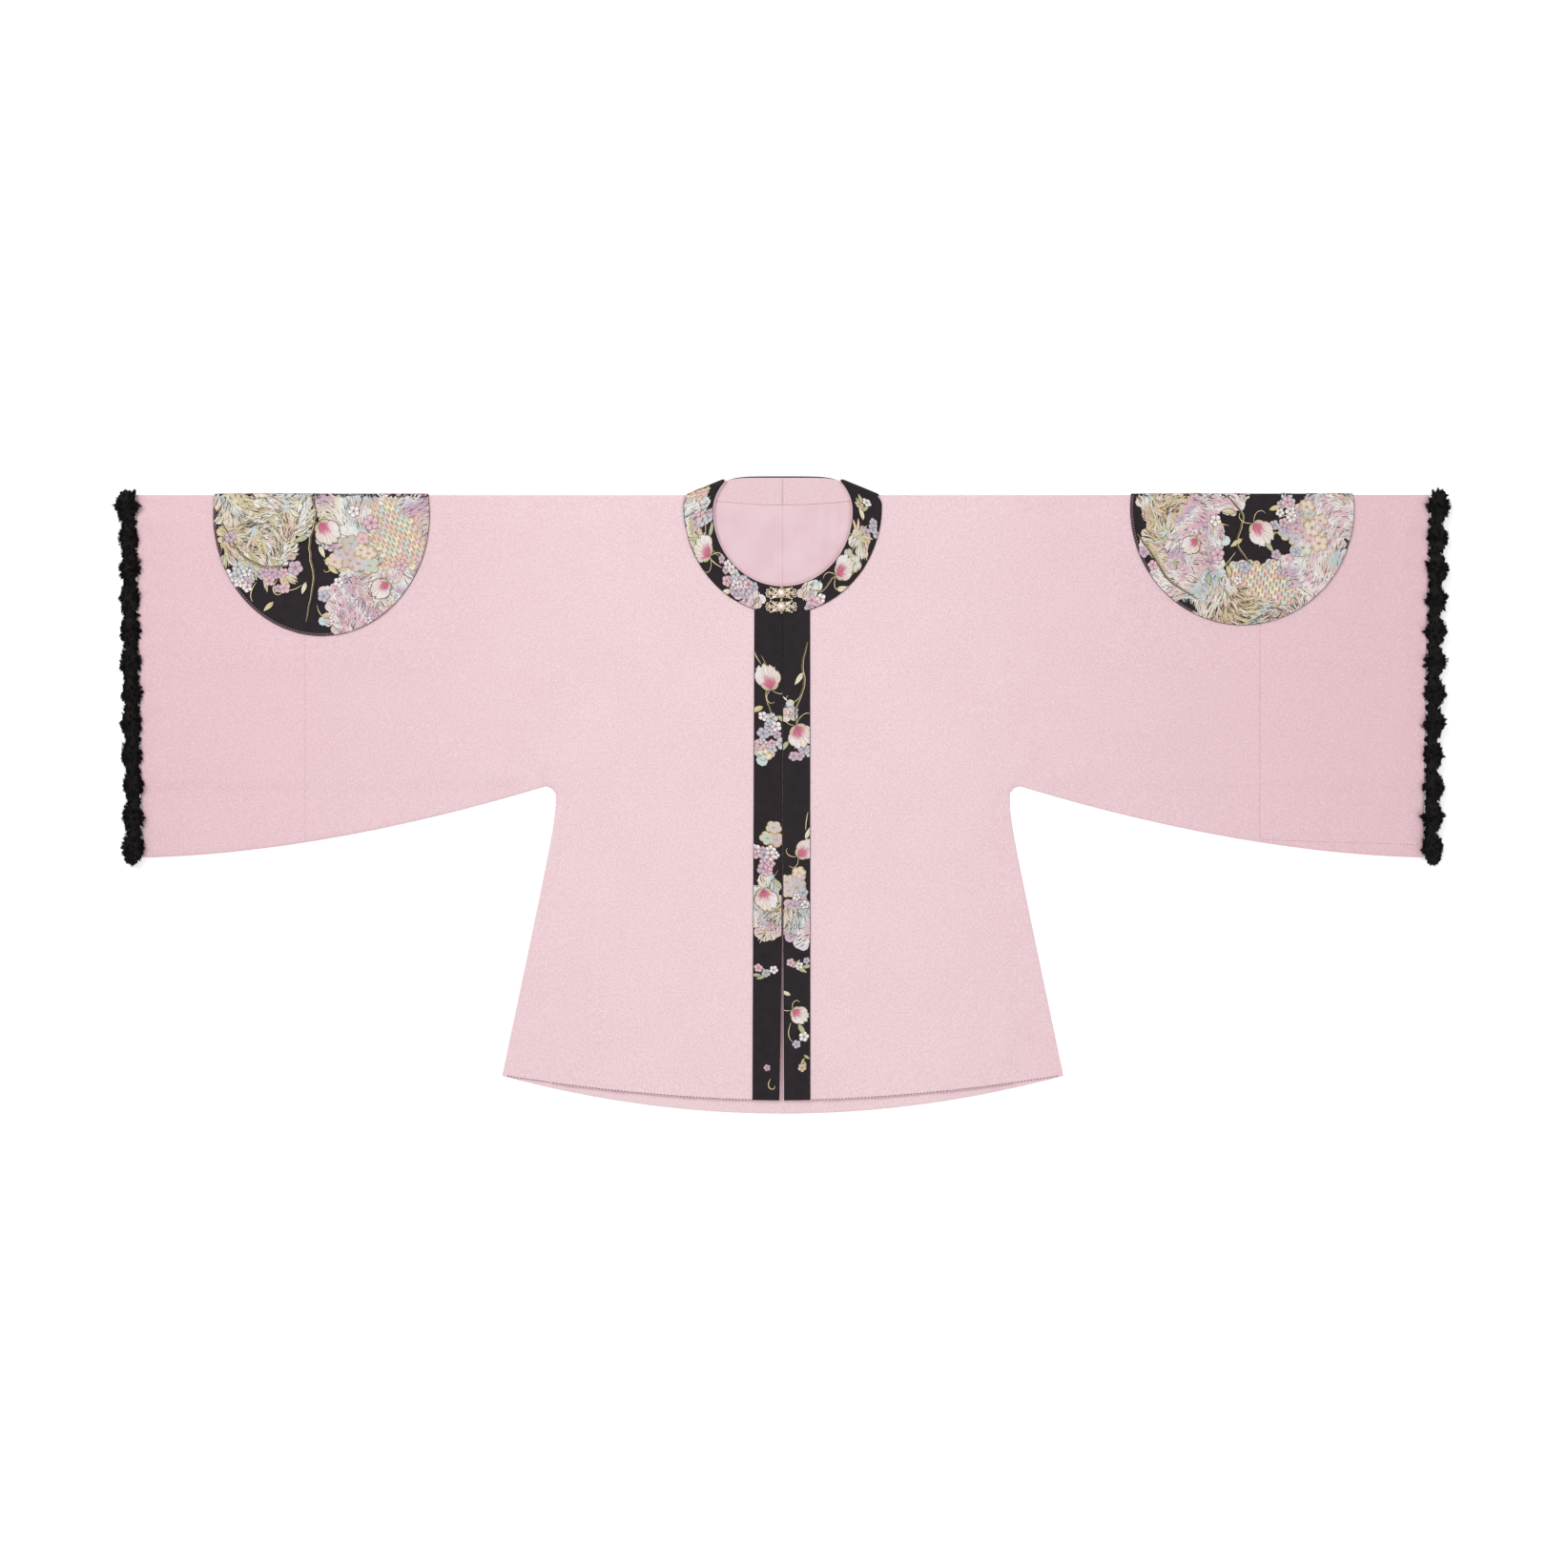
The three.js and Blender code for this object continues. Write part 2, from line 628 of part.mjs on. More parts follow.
// The origin is on the surface, under the middle of the jacket's length and span
jacket.position.y = (backHemDepth - collarTopY) / 2;

function place(name, finish, geometry) {
  const mesh = new THREE.Mesh(geometry, new THREE.MeshStandardMaterial(finishes[finish]));
  mesh.name = name;
  jacket.add(mesh);
}

for (const side of sides) {
  const pieces = [
    ['body', 'wool', bodyHalf(side)],
    ['sleeve', 'wool', sleeveTube()],
    ['collar', 'brocade', collarHalf(side, bandOuterR, bandInnerR)],
    ['collar_facing', 'wool', collarHalf(side, facingOuterR, facingInnerR)],
    ['lining', 'lining', liningHalfPiece()],
    ['placket', 'brocade', placketStrip(side)],
    ['roundel', 'brocade', roundel(side)],
    ['fur_cuff', 'fur', furCuff(side)],
  ];
  for (const [piece, finish, geometry] of pieces) {
    place(`${piece}_${side.name}`, finish, side.sign > 0 ? geometry : mirrored(geometry));
  }
}
for (const { name, y } of clasps) {
  place(`clasp_${name}_left`, 'gold', claspHalf(y, 1, true));
  place(`clasp_${name}_right`, 'gold', claspHalf(y, -1, false));
  place(`pearl_${name}`, 'pearl', pearl(y));
}

export default garment;
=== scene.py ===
import bpy
import math
import numpy as np
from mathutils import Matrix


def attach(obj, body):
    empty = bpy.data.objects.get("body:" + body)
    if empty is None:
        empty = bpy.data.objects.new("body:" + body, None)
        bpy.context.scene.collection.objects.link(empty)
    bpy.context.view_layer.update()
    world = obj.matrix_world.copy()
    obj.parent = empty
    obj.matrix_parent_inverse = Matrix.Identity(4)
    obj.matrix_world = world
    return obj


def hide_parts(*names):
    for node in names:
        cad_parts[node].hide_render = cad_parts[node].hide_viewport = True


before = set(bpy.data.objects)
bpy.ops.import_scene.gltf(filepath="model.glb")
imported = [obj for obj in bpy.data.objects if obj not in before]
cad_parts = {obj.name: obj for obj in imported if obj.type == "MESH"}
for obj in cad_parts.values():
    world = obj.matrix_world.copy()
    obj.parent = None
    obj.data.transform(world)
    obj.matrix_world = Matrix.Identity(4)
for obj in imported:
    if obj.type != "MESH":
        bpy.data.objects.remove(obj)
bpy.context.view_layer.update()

# Everything below is worked out in millimetres on the jacket: x out from the centre line to the wearer's
# left, y up from the shoulder fold, z up out of the front. toRow turns that into the row's own metres.
foldLineY = 330.8


def toRow(points):
    out = np.array(points, dtype=float)
    out[..., 1] += foldLineY
    return out / 1000.0


def mix(a, b, t):
    return a + (b - a) * t


def smooth(t):
    c = np.clip(t, 0.0, 1.0)
    return c * c * (3 - 2 * c)


def rgb(r, g, b):  # a colour as the eye reads it, made linear
    return tuple(((c / 255 + 0.055) / 1.055) ** 2.4 if c > 10 else c / 255 / 12.92 for c in (r, g, b))


# how the jacket is cut and how it lies: the same numbers as in the part's source
cut = {
    "seamX": 525.0, "cuffTopX": 711.0, "cuffLean": 6.5, "cuffDepth": 399.0,
    "underarmDepth": 321.0, "underarmStart": 262.0, "underarmPower": 1.75,
    "waistX": 250.0, "waistDepth": 336.0, "sideFlare": 0.211, "sideEase": 25.0,
    "hemHalf": 308.0, "sideHem": 639.5,
    "frontHem": 667.0, "frontPower": 1.8, "backHem": 681.0, "backPower": 2.0,
}
cloth = {"wool": 1.8, "brocade": 1.2, "lining": 1.0, "seamGap": 0.3}
fold = {"edgeAir": 0.8, "middleAir": 2.0, "cuffAir": 3.0, "ease": 30.0}
lifts = {  # what lies under the cloth and raises it: the roundel's back half, and the fur at the cuff
    "patch": 1.5, "patchFrom": 345.0, "patchTo": 660.0, "patchDown": 175.0, "patchEase": 30.0,
    "fur": 2.4, "cuffFrom": 640.0, "cuffRun": 71.0,
}
foldR = cloth["wool"] + fold["edgeAir"] / 2
outerNeck = {"half": 109.0, "y": -12.0, "below": 119.0, "above": 35.0}
innerNeck = {"half": 77.0, "y": -18.0, "below": 83.0, "above": 58.0}
neck = {"outerAngle": 16.0, "innerAngle": 34.0, "topY": 19.4, "backDrop": 11.0, "foldZ": 3.65}
sides = [
    {"name": "left", "sign": 1, "edgeTop": 0.2, "edgeHem": 0.2,
     "bandTop": 1.1, "bandHem": 1.4, "bandWidth": 29.0, "pinch": 7.4, "seamDeep": 0.6, "puffTaper": 0.36,
     "roundel": {"x": 505.0, "half": 123.0, "front": 143.5, "back": 112.0},
     "reach": [24, 22.4, 23.6, 22, 22.2, 22.6, 22.8, 22.8, 21, 23, 22.4, 22.8]},
    {"name": "right", "sign": -1, "edgeTop": 1.4, "edgeHem": 3.4,
     "bandTop": 1.6, "bandHem": 3.7, "bandWidth": 29.6, "pinch": 10.2, "seamDeep": 0.36, "puffTaper": 0.14,
     "roundel": {"x": 507.0, "half": 119.0, "front": 155.5, "back": 112.0},
     "reach": [24, 20.6, 19.8, 21, 20.4, 21.4, 20.2, 22, 21.6, 20.4, 21.2, 22.6]},
]
swells = [  # x, y, half length, half width, direction, height
    (610, -95, 80, 24, 82, 0.8), (655, -250, 70, 20, 95, 0.6), (400, -255, 110, 26, 20, 0.7),
    (235, -215, 95, 26, 52, 0.9), (150, -380, 120, 34, 78, 0.5), (262, -590, 46, 13, 84, 0.7),
    (205, -612, 44, 12, 88, 0.6), (128, -618, 48, 14, 91, 0.7), (82, -626, 40, 11, 93, 0.5),
]
ripples = [  # finer creases that only show: x, y, half length, half width, direction, height
    (690, -30, 30, 7, 60, 0.5), (682, -62, 34, 8, 80, 0.45), (676, -140, 46, 9, 95, 0.4),
    (684, -215, 44, 9, 84, 0.4), (640, -60, 60, 12, 74, 0.35), (672, -300, 46, 10, 100, 0.4),
    (690, -362, 30, 8, 80, 0.4), (290, -318, 36, 7, 28, 0.5), (268, -290, 44, 8, 58, 0.5),
    (262, -345, 30, 6, 100, 0.4), (330, -300, 60, 10, 22, 0.3), (236, -622, 32, 8, 80, 0.55),
    (180, -634, 34, 8, 90, 0.5), (104, -640, 36, 8, 92, 0.5), (56, -646, 30, 7, 95, 0.4),
    (290, -600, 34, 7, 78, 0.4), (70, -560, 70, 12, 92, 0.3), (205, -560, 60, 14, 84, 0.3),
]
creases = {"fine": 3.0, "cuffPleat": 0.5, "cuffPitch": 33.5, "seamPull": 0.16, "seamWave": 11.0,
           "hemSag": 1.2, "hemRun": 70.0}
corner = np.array([255.0, -322.5])
cornerIn = np.array([-0.62, 0.78]) / math.hypot(0.62, 0.78)
cornerFlat = corner + cornerIn * foldR


def sleeveDepth(x):
    left = np.clip((cut["cuffTopX"] - x) / (cut["cuffTopX"] - cut["underarmStart"]), 0, None)
    return cut["cuffDepth"] - (cut["cuffDepth"] - cut["underarmDepth"]) * left ** cut["underarmPower"]


def sideX(depth):
    below = np.clip(depth - cut["waistDepth"], 0, None)
    return cut["waistX"] + cut["sideFlare"] * (np.hypot(below, cut["sideEase"]) - cut["sideEase"])


def hemDepth(x, deepest, power):
    return deepest - (deepest - cut["sideHem"]) * (np.abs(x) / cut["hemHalf"]) ** power


def frontHem(x):
    return hemDepth(x, cut["frontHem"], cut["frontPower"])


def backHem(x):
    return hemDepth(x, cut["backHem"], cut["backPower"])


def cuffX(y):
    return cut["cuffTopX"] - cut["cuffLean"] * np.clip(-y / cut["cuffDepth"], 0, 1)


def bumps(table, x, y):
    total = np.zeros_like(np.asarray(x, dtype=float) + np.asarray(y, dtype=float))
    for mx, my, long, wide, turn, height in table:
        a = math.radians(turn)
        along = ((x - mx) * math.cos(a) + (y - my) * math.sin(a)) / long
        across = (-(x - mx) * math.sin(a) + (y - my) * math.cos(a)) / wide
        total = total + height * np.exp(-along * along - across * across)
    return total


def toCuff(x):  # 0 on the sleeve, 1 at the cuff
    return smooth((x - lifts["cuffFrom"]) / lifts["cuffRun"])


def liftAt(x, y):
    ease = lifts["patchEase"]
    across = smooth((x - lifts["patchFrom"]) / ease) * (1 - smooth((x - lifts["patchTo"]) / ease))
    down = 1 - smooth((-y - lifts["patchDown"]) / ease)
    return np.maximum(lifts["patch"] * across * down, lifts["fur"] * toCuff(x))


def shoulderAir(x):
    return mix(fold["middleAir"], fold["edgeAir"], smooth((x - outerNeck["half"]) / fold["ease"]))


def shoulderR(x):
    return cloth["wool"] + shoulderAir(x) / 2


def airAt(x, y):
    toUnderarm = np.where(x > cornerFlat[0], sleeveDepth(x) + y, 1e6)
    toSide = np.where(y < cornerFlat[1], sideX(-y) - x, 1e6)
    middle = mix(fold["middleAir"], fold["cuffAir"], toCuff(x)) + bumps(swells, x, y)
    belowFold = mix(shoulderAir(x), middle, smooth((-y - foldR) / fold["ease"]))
    return mix(fold["edgeAir"], belowFold, smooth((np.minimum(toUnderarm, toSide) - foldR) / fold["ease"]))


def frontTop(x, y):
    return liftAt(x, y) + 2 * cloth["wool"] + airAt(x, y)


seam = {"gap": 0.05, "reach": 1.3, "deep": 0.3}  # sewn edges lie close, open edges round off more


def sewnRound(distance, deep=seam["deep"]):
    return edgeRound(distance, seam["reach"], deep)


def edgeRound(distance, reach=2.2, deep=0.75):  # how far the face falls towards an edge
    t = np.clip(1 - distance / reach, 0, 1)
    return deep * t * t


def frontLayer(side, x, y, drop):  # drop: how far the face falls there
    z = frontTop(x, y)
    toEdge = np.where(x > cornerFlat[0], sleeveDepth(x) + y, sideX(-y) - x)
    inland = smooth((-y - 6) / 20) * smooth((toEdge - 5) / 16)
    fine = creases["fine"] * bumps(ripples, x, y)
    pleatWave = np.sin(y / creases["cuffPitch"] * 2 * math.pi + 0.6)
    cuffPleat = creases["cuffPleat"] * pleatWave * smooth((x - 655) / 50)
    bySeam = np.exp(-((x - cut["seamX"]) / 5.0) ** 2)
    seamPull = creases["seamPull"] * np.sin(y / creases["seamWave"]) * bySeam
    toHem = frontHem(np.minimum(np.abs(x), cut["hemHalf"])) + y
    hemSag = creases["hemSag"] * smooth(1 - toHem / creases["hemRun"])  # the front hem lies close to the back
    z = z + (fine + cuffPleat + seamPull) * inland - hemSag * smooth((sideX(-y) - x - 4) / 20)
    outer = np.stack([x, y, z - drop], -1)
    inner = np.stack([x, y, z - cloth["wool"] + 0.35 * drop], -1)
    return outer, inner


def backLayer(x, y, drop):
    z = liftAt(x, y)
    outer = np.stack([x, y, z + 0.66 * drop], -1)
    inner = np.stack([x, y, z + cloth["wool"] - 0.66 * drop], -1)
    return outer, inner


def turned(edge, inward, angle, z, outerR, innerR):
    def at(r):
        inset = outerR - r * math.cos(angle)
        return np.stack([edge[..., 0] + inward[..., 0] * inset, edge[..., 1] + inward[..., 1] * inset,
                         z + r * math.sin(angle)], -1)
    return at(outerR), at(innerR)


def shoulderTurn(x, angle, out=0.0):
    r = shoulderR(x)
    edge = np.stack([x, np.zeros_like(x) + out], -1)
    inward = np.stack([np.zeros_like(x), np.zeros_like(x) - 1], -1)
    return turned(edge, inward, angle, liftAt(x, 0 * x) + r, r + out, r - cloth["wool"] + out)


def spaced(length, step, first=True, last=True):  # even places, with close ones at the sewn ends
    near = [0.0, 0.35, 0.9, 1.8, 3.4]
    head = near if first else [0.0]
    tail = [length - v for v in near[::-1]] if last else [length]
    start, end = head[-1], tail[0]
    count = max(2, int(round((end - start) / step)))
    return np.array(head[:-1] + list(np.linspace(start, end, count + 1)) + tail[1:])


turnAngles = [math.radians(v) for v in (67.5, 45, 22.5, 0, -22.5, -45, -67.5)]


def runLength(path):  # how far along a line each of its points lies
    return np.concatenate([[0], np.cumsum(np.linalg.norm(np.diff(path, axis=0), axis=1))])


class ClothNet:  # a net of cloth points that closes into one wall: outer face, inner face and rims
    def __init__(self):
        self.outer, self.inner, self.quads = [], [], []
        self.count = 0

    def add(self, outer, inner):
        shape = outer.shape[:-1]
        self.outer.append(outer.reshape(-1, 3))
        self.inner.append(inner.reshape(-1, 3))
        ids = np.arange(self.count, self.count + outer[..., 0].size).reshape(shape)
        self.count += outer[..., 0].size
        return ids

    def weave(self, rows):
        rows = np.asarray(rows)
        a, b, c, d = rows[:-1, :-1], rows[1:, :-1], rows[1:, 1:], rows[:-1, 1:]
        self.quads.append(np.stack([a, b, c, d], -1).reshape(-1, 4))

    def arrays(self, keep=None):
        outer, inner = np.concatenate(self.outer), np.concatenate(self.inner)
        quads = np.concatenate(self.quads)
        if keep is not None:
            outer, inner, quads = keep(outer, inner, quads)
        return outer, inner, quads


def wall(outer, inner, quads):
    n = len(outer)
    a, b = quads.reshape(-1), np.roll(quads, -1, axis=1).reshape(-1)
    rim = ~np.isin(a * n + b, b * n + a)
    a, b = a[rim], b[rim]
    rims = np.stack([b, a, a + n, b + n], -1)
    faces = np.concatenate([quads, quads[:, ::-1] + n, rims])
    return np.concatenate([outer, inner]), faces


def meshPiece(name, points, faces, mirror=False, smoothed=True):
    points = toRow(points)
    if mirror:
        points[:, 0] *= -1
        faces = faces[:, ::-1]
    used = np.unique(faces)
    order = np.full(len(points), -1)
    order[used] = np.arange(len(used))
    faces = order[faces]
    mesh = bpy.data.meshes.new(name)
    mesh.vertices.add(len(used))
    mesh.vertices.foreach_set("co", points[used].ravel())
    corners = faces.shape[1]
    mesh.loops.add(faces.size)
    mesh.loops.foreach_set("vertex_index", faces.ravel().astype(np.int32))
    mesh.polygons.add(len(faces))
    mesh.polygons.foreach_set("loop_start", np.arange(0, faces.size, corners, dtype=np.int32))
    mesh.polygons.foreach_set("loop_total", np.full(len(faces), corners, dtype=np.int32))
    mesh.update(calc_edges=True)
    mesh.validate()
    if smoothed:
        mesh.polygons.foreach_set("use_smooth", np.ones(len(mesh.polygons), dtype=bool))
    piece = bpy.data.objects.new(name, mesh)
    bpy.context.scene.collection.objects.link(piece)
    return piece, used


def dress(piece, material, nodes=()):
    piece.data.materials.clear()
    piece.data.materials.append(material)
    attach(piece, "root")
    if nodes:
        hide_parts(*nodes)


def storeUv(piece, uv, used):  # one place in the cloth for each point, in metres
    layer = piece.data.uv_layers.new(name="cloth")
    index = np.empty(len(piece.data.loops), dtype=np.int32)
    piece.data.loops.foreach_get("vertex_index", index)
    layer.data.foreach_set("uv", (uv[used][index] / 1000.0).ravel())


# materials
def newMaterial(name, values):  # values: the plain settings of its shader
    material = bpy.data.materials.new(name)
    material.use_nodes = True
    nodes = material.node_tree.nodes
    shader = nodes["Principled BSDF"]
    for socket, value in values.items():
        shader.inputs[socket].default_value = value
    return material, nodes, material.node_tree.links, shader


def node(nodes, kind, **values):
    made = nodes.new(kind)
    for key, value in values.items():
        setattr(made, key, value)
    return made


def feed(links, socket, value):  # a link from another socket, or a plain value
    if isinstance(value, bpy.types.NodeSocket):
        links.new(value, socket)
    else:
        socket.default_value = value


def mixColour(nodes, links, factor, a, b):
    m = node(nodes, "ShaderNodeMix", data_type="RGBA")
    feed(links, m.inputs[0], factor)
    feed(links, m.inputs[6], (*a, 1) if isinstance(a, tuple) else a)
    feed(links, m.inputs[7], (*b, 1) if isinstance(b, tuple) else b)
    return m.outputs[2]


def math2(nodes, links, operation, a, b=0.5):
    m = node(nodes, "ShaderNodeMath", operation=operation)
    feed(links, m.inputs[0], a)
    feed(links, m.inputs[1], b)
    return m.outputs[0]


def noise(nodes, links, vector, scale, detail, distortion=0.0):
    n = node(nodes, "ShaderNodeTexNoise")
    feed(links, n.inputs["Vector"], vector)
    feed(links, n.inputs["Scale"], scale)
    feed(links, n.inputs["Detail"], detail)
    feed(links, n.inputs["Distortion"], distortion)
    return n.outputs["Fac"]


def ranged(nodes, links, value, low, high, toLow=0.0, toHigh=1.0):
    m = node(nodes, "ShaderNodeMapRange")
    given = {"Value": value, "From Min": low, "From Max": high, "To Min": toLow, "To Max": toHigh}
    for key, v in given.items():
        feed(links, m.inputs[key], v)
    return m.outputs["Result"]


def addBump(nodes, links, shader, height, strength, distance):
    bump = node(nodes, "ShaderNodeBump")
    bump.inputs["Strength"].default_value = strength
    bump.inputs["Distance"].default_value = distance
    links.new(height, bump.inputs["Height"])
    links.new(bump.outputs[0], shader.inputs["Normal"])


def newGroup(name, values, results):  # a node group that takes a place and named values
    group = bpy.data.node_groups.new(name, "ShaderNodeTree")
    group.interface.new_socket("Place", in_out="INPUT", socket_type="NodeSocketVector")
    for key, value in values.items():
        group.interface.new_socket(key, in_out="INPUT", socket_type="NodeSocketFloat").default_value = value
    for key in results:
        group.interface.new_socket(key, in_out="OUTPUT", socket_type="NodeSocketFloat")
    nodes = group.nodes
    return group, nodes, group.links, nodes.new("NodeGroupInput"), nodes.new("NodeGroupOutput")


def napGroup():  # short brushed nap: a mottle for the colour and a height for the bump
    group, nodes, links, into, out = newGroup("brushedNap", {"Fibre Scale": 1150.0, "Patch Scale": 12.0},
                                              ("Mottle", "Patch", "Height"))
    brushed = node(nodes, "ShaderNodeVectorMath", operation="MULTIPLY")
    links.new(into.outputs["Place"], brushed.inputs[0])
    brushed.inputs[1].default_value = (1.0, 0.62, 1.0)
    fibre = noise(nodes, links, brushed.outputs[0], into.outputs["Fibre Scale"], 4, 1.2)
    curlScale = math2(nodes, links, "MULTIPLY", into.outputs["Fibre Scale"], 0.45)
    curl = noise(nodes, links, into.outputs["Place"], curlScale, 2)
    patch = noise(nodes, links, into.outputs["Place"], into.outputs["Patch Scale"], 3)
    both = math2(nodes, links, "ADD", math2(nodes, links, "MULTIPLY", fibre, 0.6),
                 math2(nodes, links, "MULTIPLY", curl, 0.4))
    links.new(both, out.inputs["Mottle"])
    links.new(both, out.inputs["Height"])
    links.new(patch, out.inputs["Patch"])
    return group


def weaveGroup():  # crossing threads, from a place in the cloth
    group, nodes, links, into, out = newGroup("threads", {"Threads Per Metre": 1600.0, "Slant": 1.0},
                                              ("Height", "Shade"))
    split = nodes.new("ShaderNodeSeparateXYZ")
    links.new(into.outputs["Place"], split.inputs[0])
    u = math2(nodes, links, "MULTIPLY", split.outputs["X"], into.outputs["Threads Per Metre"])
    v = math2(nodes, links, "MULTIPLY", split.outputs["Y"], into.outputs["Threads Per Metre"])
    slanted = math2(nodes, links, "ADD", u, math2(nodes, links, "MULTIPLY", v, into.outputs["Slant"]))
    warpWave = math2(nodes, links, "SINE", math2(nodes, links, "MULTIPLY", slanted, math.pi))
    weftWave = math2(nodes, links, "SINE", math2(nodes, links, "MULTIPLY", v, 2 * math.pi))
    height = math2(nodes, links, "ADD", math2(nodes, links, "MULTIPLY", warpWave, 0.4),
                   math2(nodes, links, "MULTIPLY", weftWave, 0.2))
    shade = math2(nodes, links, "ADD", math2(nodes, links, "MULTIPLY", height, 0.5), 0.5)
    links.new(height, out.inputs["Height"])
    links.new(shade, out.inputs["Shade"])
    return group


nap, threads = napGroup(), weaveGroup()


def weaveNode(nodes, links, place, perMetre, slant=1.0):
    weave = node(nodes, "ShaderNodeGroup", node_tree=threads)
    links.new(place, weave.inputs["Place"])
    weave.inputs["Threads Per Metre"].default_value = perMetre
    weave.inputs["Slant"].default_value = slant
    return weave


woolLook = {
    "body": rgb(232, 203, 208), "deep": rgb(220, 181, 189), "light": rgb(244, 226, 229),
    "lightCuff": rgb(236, 209, 215), "deepFrom": 0.17, "deepTo": 0.78, "lean": 0.03, "bump": 0.7,
}
# the facing is the same pink wool as the body, painted a little darker: painted shade inside the neck
facingShadeLook = dict(woolLook, body=rgb(225, 195, 200), light=rgb(235, 213, 217))
satinLook = {"colour": rgb(224, 191, 199), "pale": rgb(231, 205, 211), "threads": 2600.0}
brocadeLook = {"ground": rgb(31, 25, 28), "rib": rgb(52, 44, 49), "threads": 1500.0}
silkLook = {"shadow": rgb(120, 100, 96), "depth": 0.42, "threads": 1250.0, "slant": 0.2, "metal": 0.75}
furLook = {"dark": rgb(9, 7, 7), "pale": rgb(27, 23, 22)}
goldLook = {"dark": rgb(232, 212, 184), "pale": rgb(250, 240, 224)}
pearlLook = {"dark": rgb(248, 236, 214), "pale": rgb(255, 248, 238)}


def woolMaterial(name, look):
    values = {"Roughness": 0.95, "Specular IOR Level": 0.12, "Sheen Weight": 0.12}
    material, nodes, links, shader = newMaterial(name, values)
    place = nodes.new("ShaderNodeTexCoord").outputs["Object"]
    grain = node(nodes, "ShaderNodeGroup", node_tree=nap)
    links.new(place, grain.inputs["Place"])
    split = nodes.new("ShaderNodeSeparateXYZ")
    links.new(place, split.inputs[0])
    out = math2(nodes, links, "ABSOLUTE", math2(nodes, links, "ADD", split.outputs["X"], look["lean"]))
    outward = ranged(nodes, links, out, look["deepFrom"], look["deepTo"])
    base = mixColour(nodes, links, outward, look["body"], look["deep"])
    patch = ranged(nodes, links, grain.outputs["Patch"], 0.35, 0.65, 0.0, 0.16)
    base = mixColour(nodes, links, patch, base, look["deep"])
    fleck = ranged(nodes, links, grain.outputs["Mottle"], 0.47, 0.6, 0.0, 0.62)
    pale = mixColour(nodes, links, outward, look["light"], look["lightCuff"])
    base = mixColour(nodes, links, fleck, base, pale)
    shadow = ranged(nodes, links, grain.outputs["Mottle"], 0.48, 0.36, 0.0, 0.5)
    links.new(mixColour(nodes, links, shadow, base, look["deep"]), shader.inputs["Base Color"])
    addBump(nodes, links, shader, grain.outputs["Height"], look["bump"], 0.0005)
    return material


def satinMaterial():
    values = {"Roughness": 0.55, "Specular IOR Level": 0.3}
    material, nodes, links, shader = newMaterial("liningSatin", values)
    place = nodes.new("ShaderNodeTexCoord").outputs["Object"]
    weave = weaveNode(nodes, links, place, satinLook["threads"])
    soft = ranged(nodes, links, noise(nodes, links, place, 30, 2), 0.35, 0.65, 0.0, 0.6)
    base = mixColour(nodes, links, soft, satinLook["colour"], satinLook["pale"])
    links.new(base, shader.inputs["Base Color"])
    addBump(nodes, links, shader, weave.outputs["Height"], 0.25, 0.0002)
    return material


def brocadeMaterial():
    values = {"Roughness": 0.7, "Specular IOR Level": 0.2}
    material, nodes, links, shader = newMaterial("blackBrocade", values)
    uv = node(nodes, "ShaderNodeUVMap", uv_map="cloth").outputs["UV"]
    weave = weaveNode(nodes, links, uv, brocadeLook["threads"])
    worn = ranged(nodes, links, noise(nodes, links, uv, 90, 3), 0.3, 0.7, 0.25, 0.8)
    amount = math2(nodes, links, "MULTIPLY", weave.outputs["Shade"], worn)
    base = mixColour(nodes, links, amount, brocadeLook["ground"], brocadeLook["rib"])
    links.new(base, shader.inputs["Base Color"])
    addBump(nodes, links, shader, weave.outputs["Height"], 0.5, 0.0003)
    return material


def silkMaterial():  # the woven flowers: their colour and how much is metal thread come with the mesh
    material, nodes, links, shader = newMaterial("flowerSilk", {})
    tint = node(nodes, "ShaderNodeAttribute", attribute_name="silk", attribute_type="GEOMETRY")
    uv = node(nodes, "ShaderNodeUVMap", uv_map="cloth").outputs["UV"]
    weave = weaveNode(nodes, links, uv, silkLook["threads"], silkLook["slant"])
    dark = mixColour(nodes, links, silkLook["depth"], tint.outputs["Color"], silkLook["shadow"])
    speck = ranged(nodes, links, noise(nodes, links, uv, 1100, 1), 0.4, 0.65, 0.1, 0.9)
    ridge = ranged(nodes, links, weave.outputs["Shade"], 0.2, 0.8, 0.9, 0.15)
    amount = math2(nodes, links, "MULTIPLY", speck, ridge)
    links.new(mixColour(nodes, links, amount, tint.outputs["Color"], dark), shader.inputs["Base Color"])
    metal = math2(nodes, links, "MULTIPLY", tint.outputs["Alpha"], silkLook["metal"])
    links.new(metal, shader.inputs["Metallic"])
    links.new(ranged(nodes, links, tint.outputs["Alpha"], 0, 1, 0.55, 0.38), shader.inputs["Roughness"])
    addBump(nodes, links, shader, weave.outputs["Height"], 0.6, 0.0004)
    return material


def furMaterial():
    material, nodes, links, shader = newMaterial("blackFur", {"Roughness": 0.75, "Specular IOR Level": 0.18})
    place = nodes.new("ShaderNodeTexCoord").outputs["Object"]
    patch = ranged(nodes, links, noise(nodes, links, place, 140, 3), 0.35, 0.7)
    base = mixColour(nodes, links, patch, furLook["dark"], furLook["pale"])
    links.new(base, shader.inputs["Base Color"])
    return material


def goldMaterial():
    material, nodes, links, shader = newMaterial("paleGold", {"Metallic": 0.8})
    worn = noise(nodes, links, nodes.new("ShaderNodeTexCoord").outputs["Object"], 500, 3)
    bright = ranged(nodes, links, worn, 0.35, 0.7)
    base = mixColour(nodes, links, bright, goldLook["dark"], goldLook["pale"])
    links.new(base, shader.inputs["Base Color"])
    links.new(ranged(nodes, links, worn, 0.3, 0.7, 0.3, 0.48), shader.inputs["Roughness"])
    return material


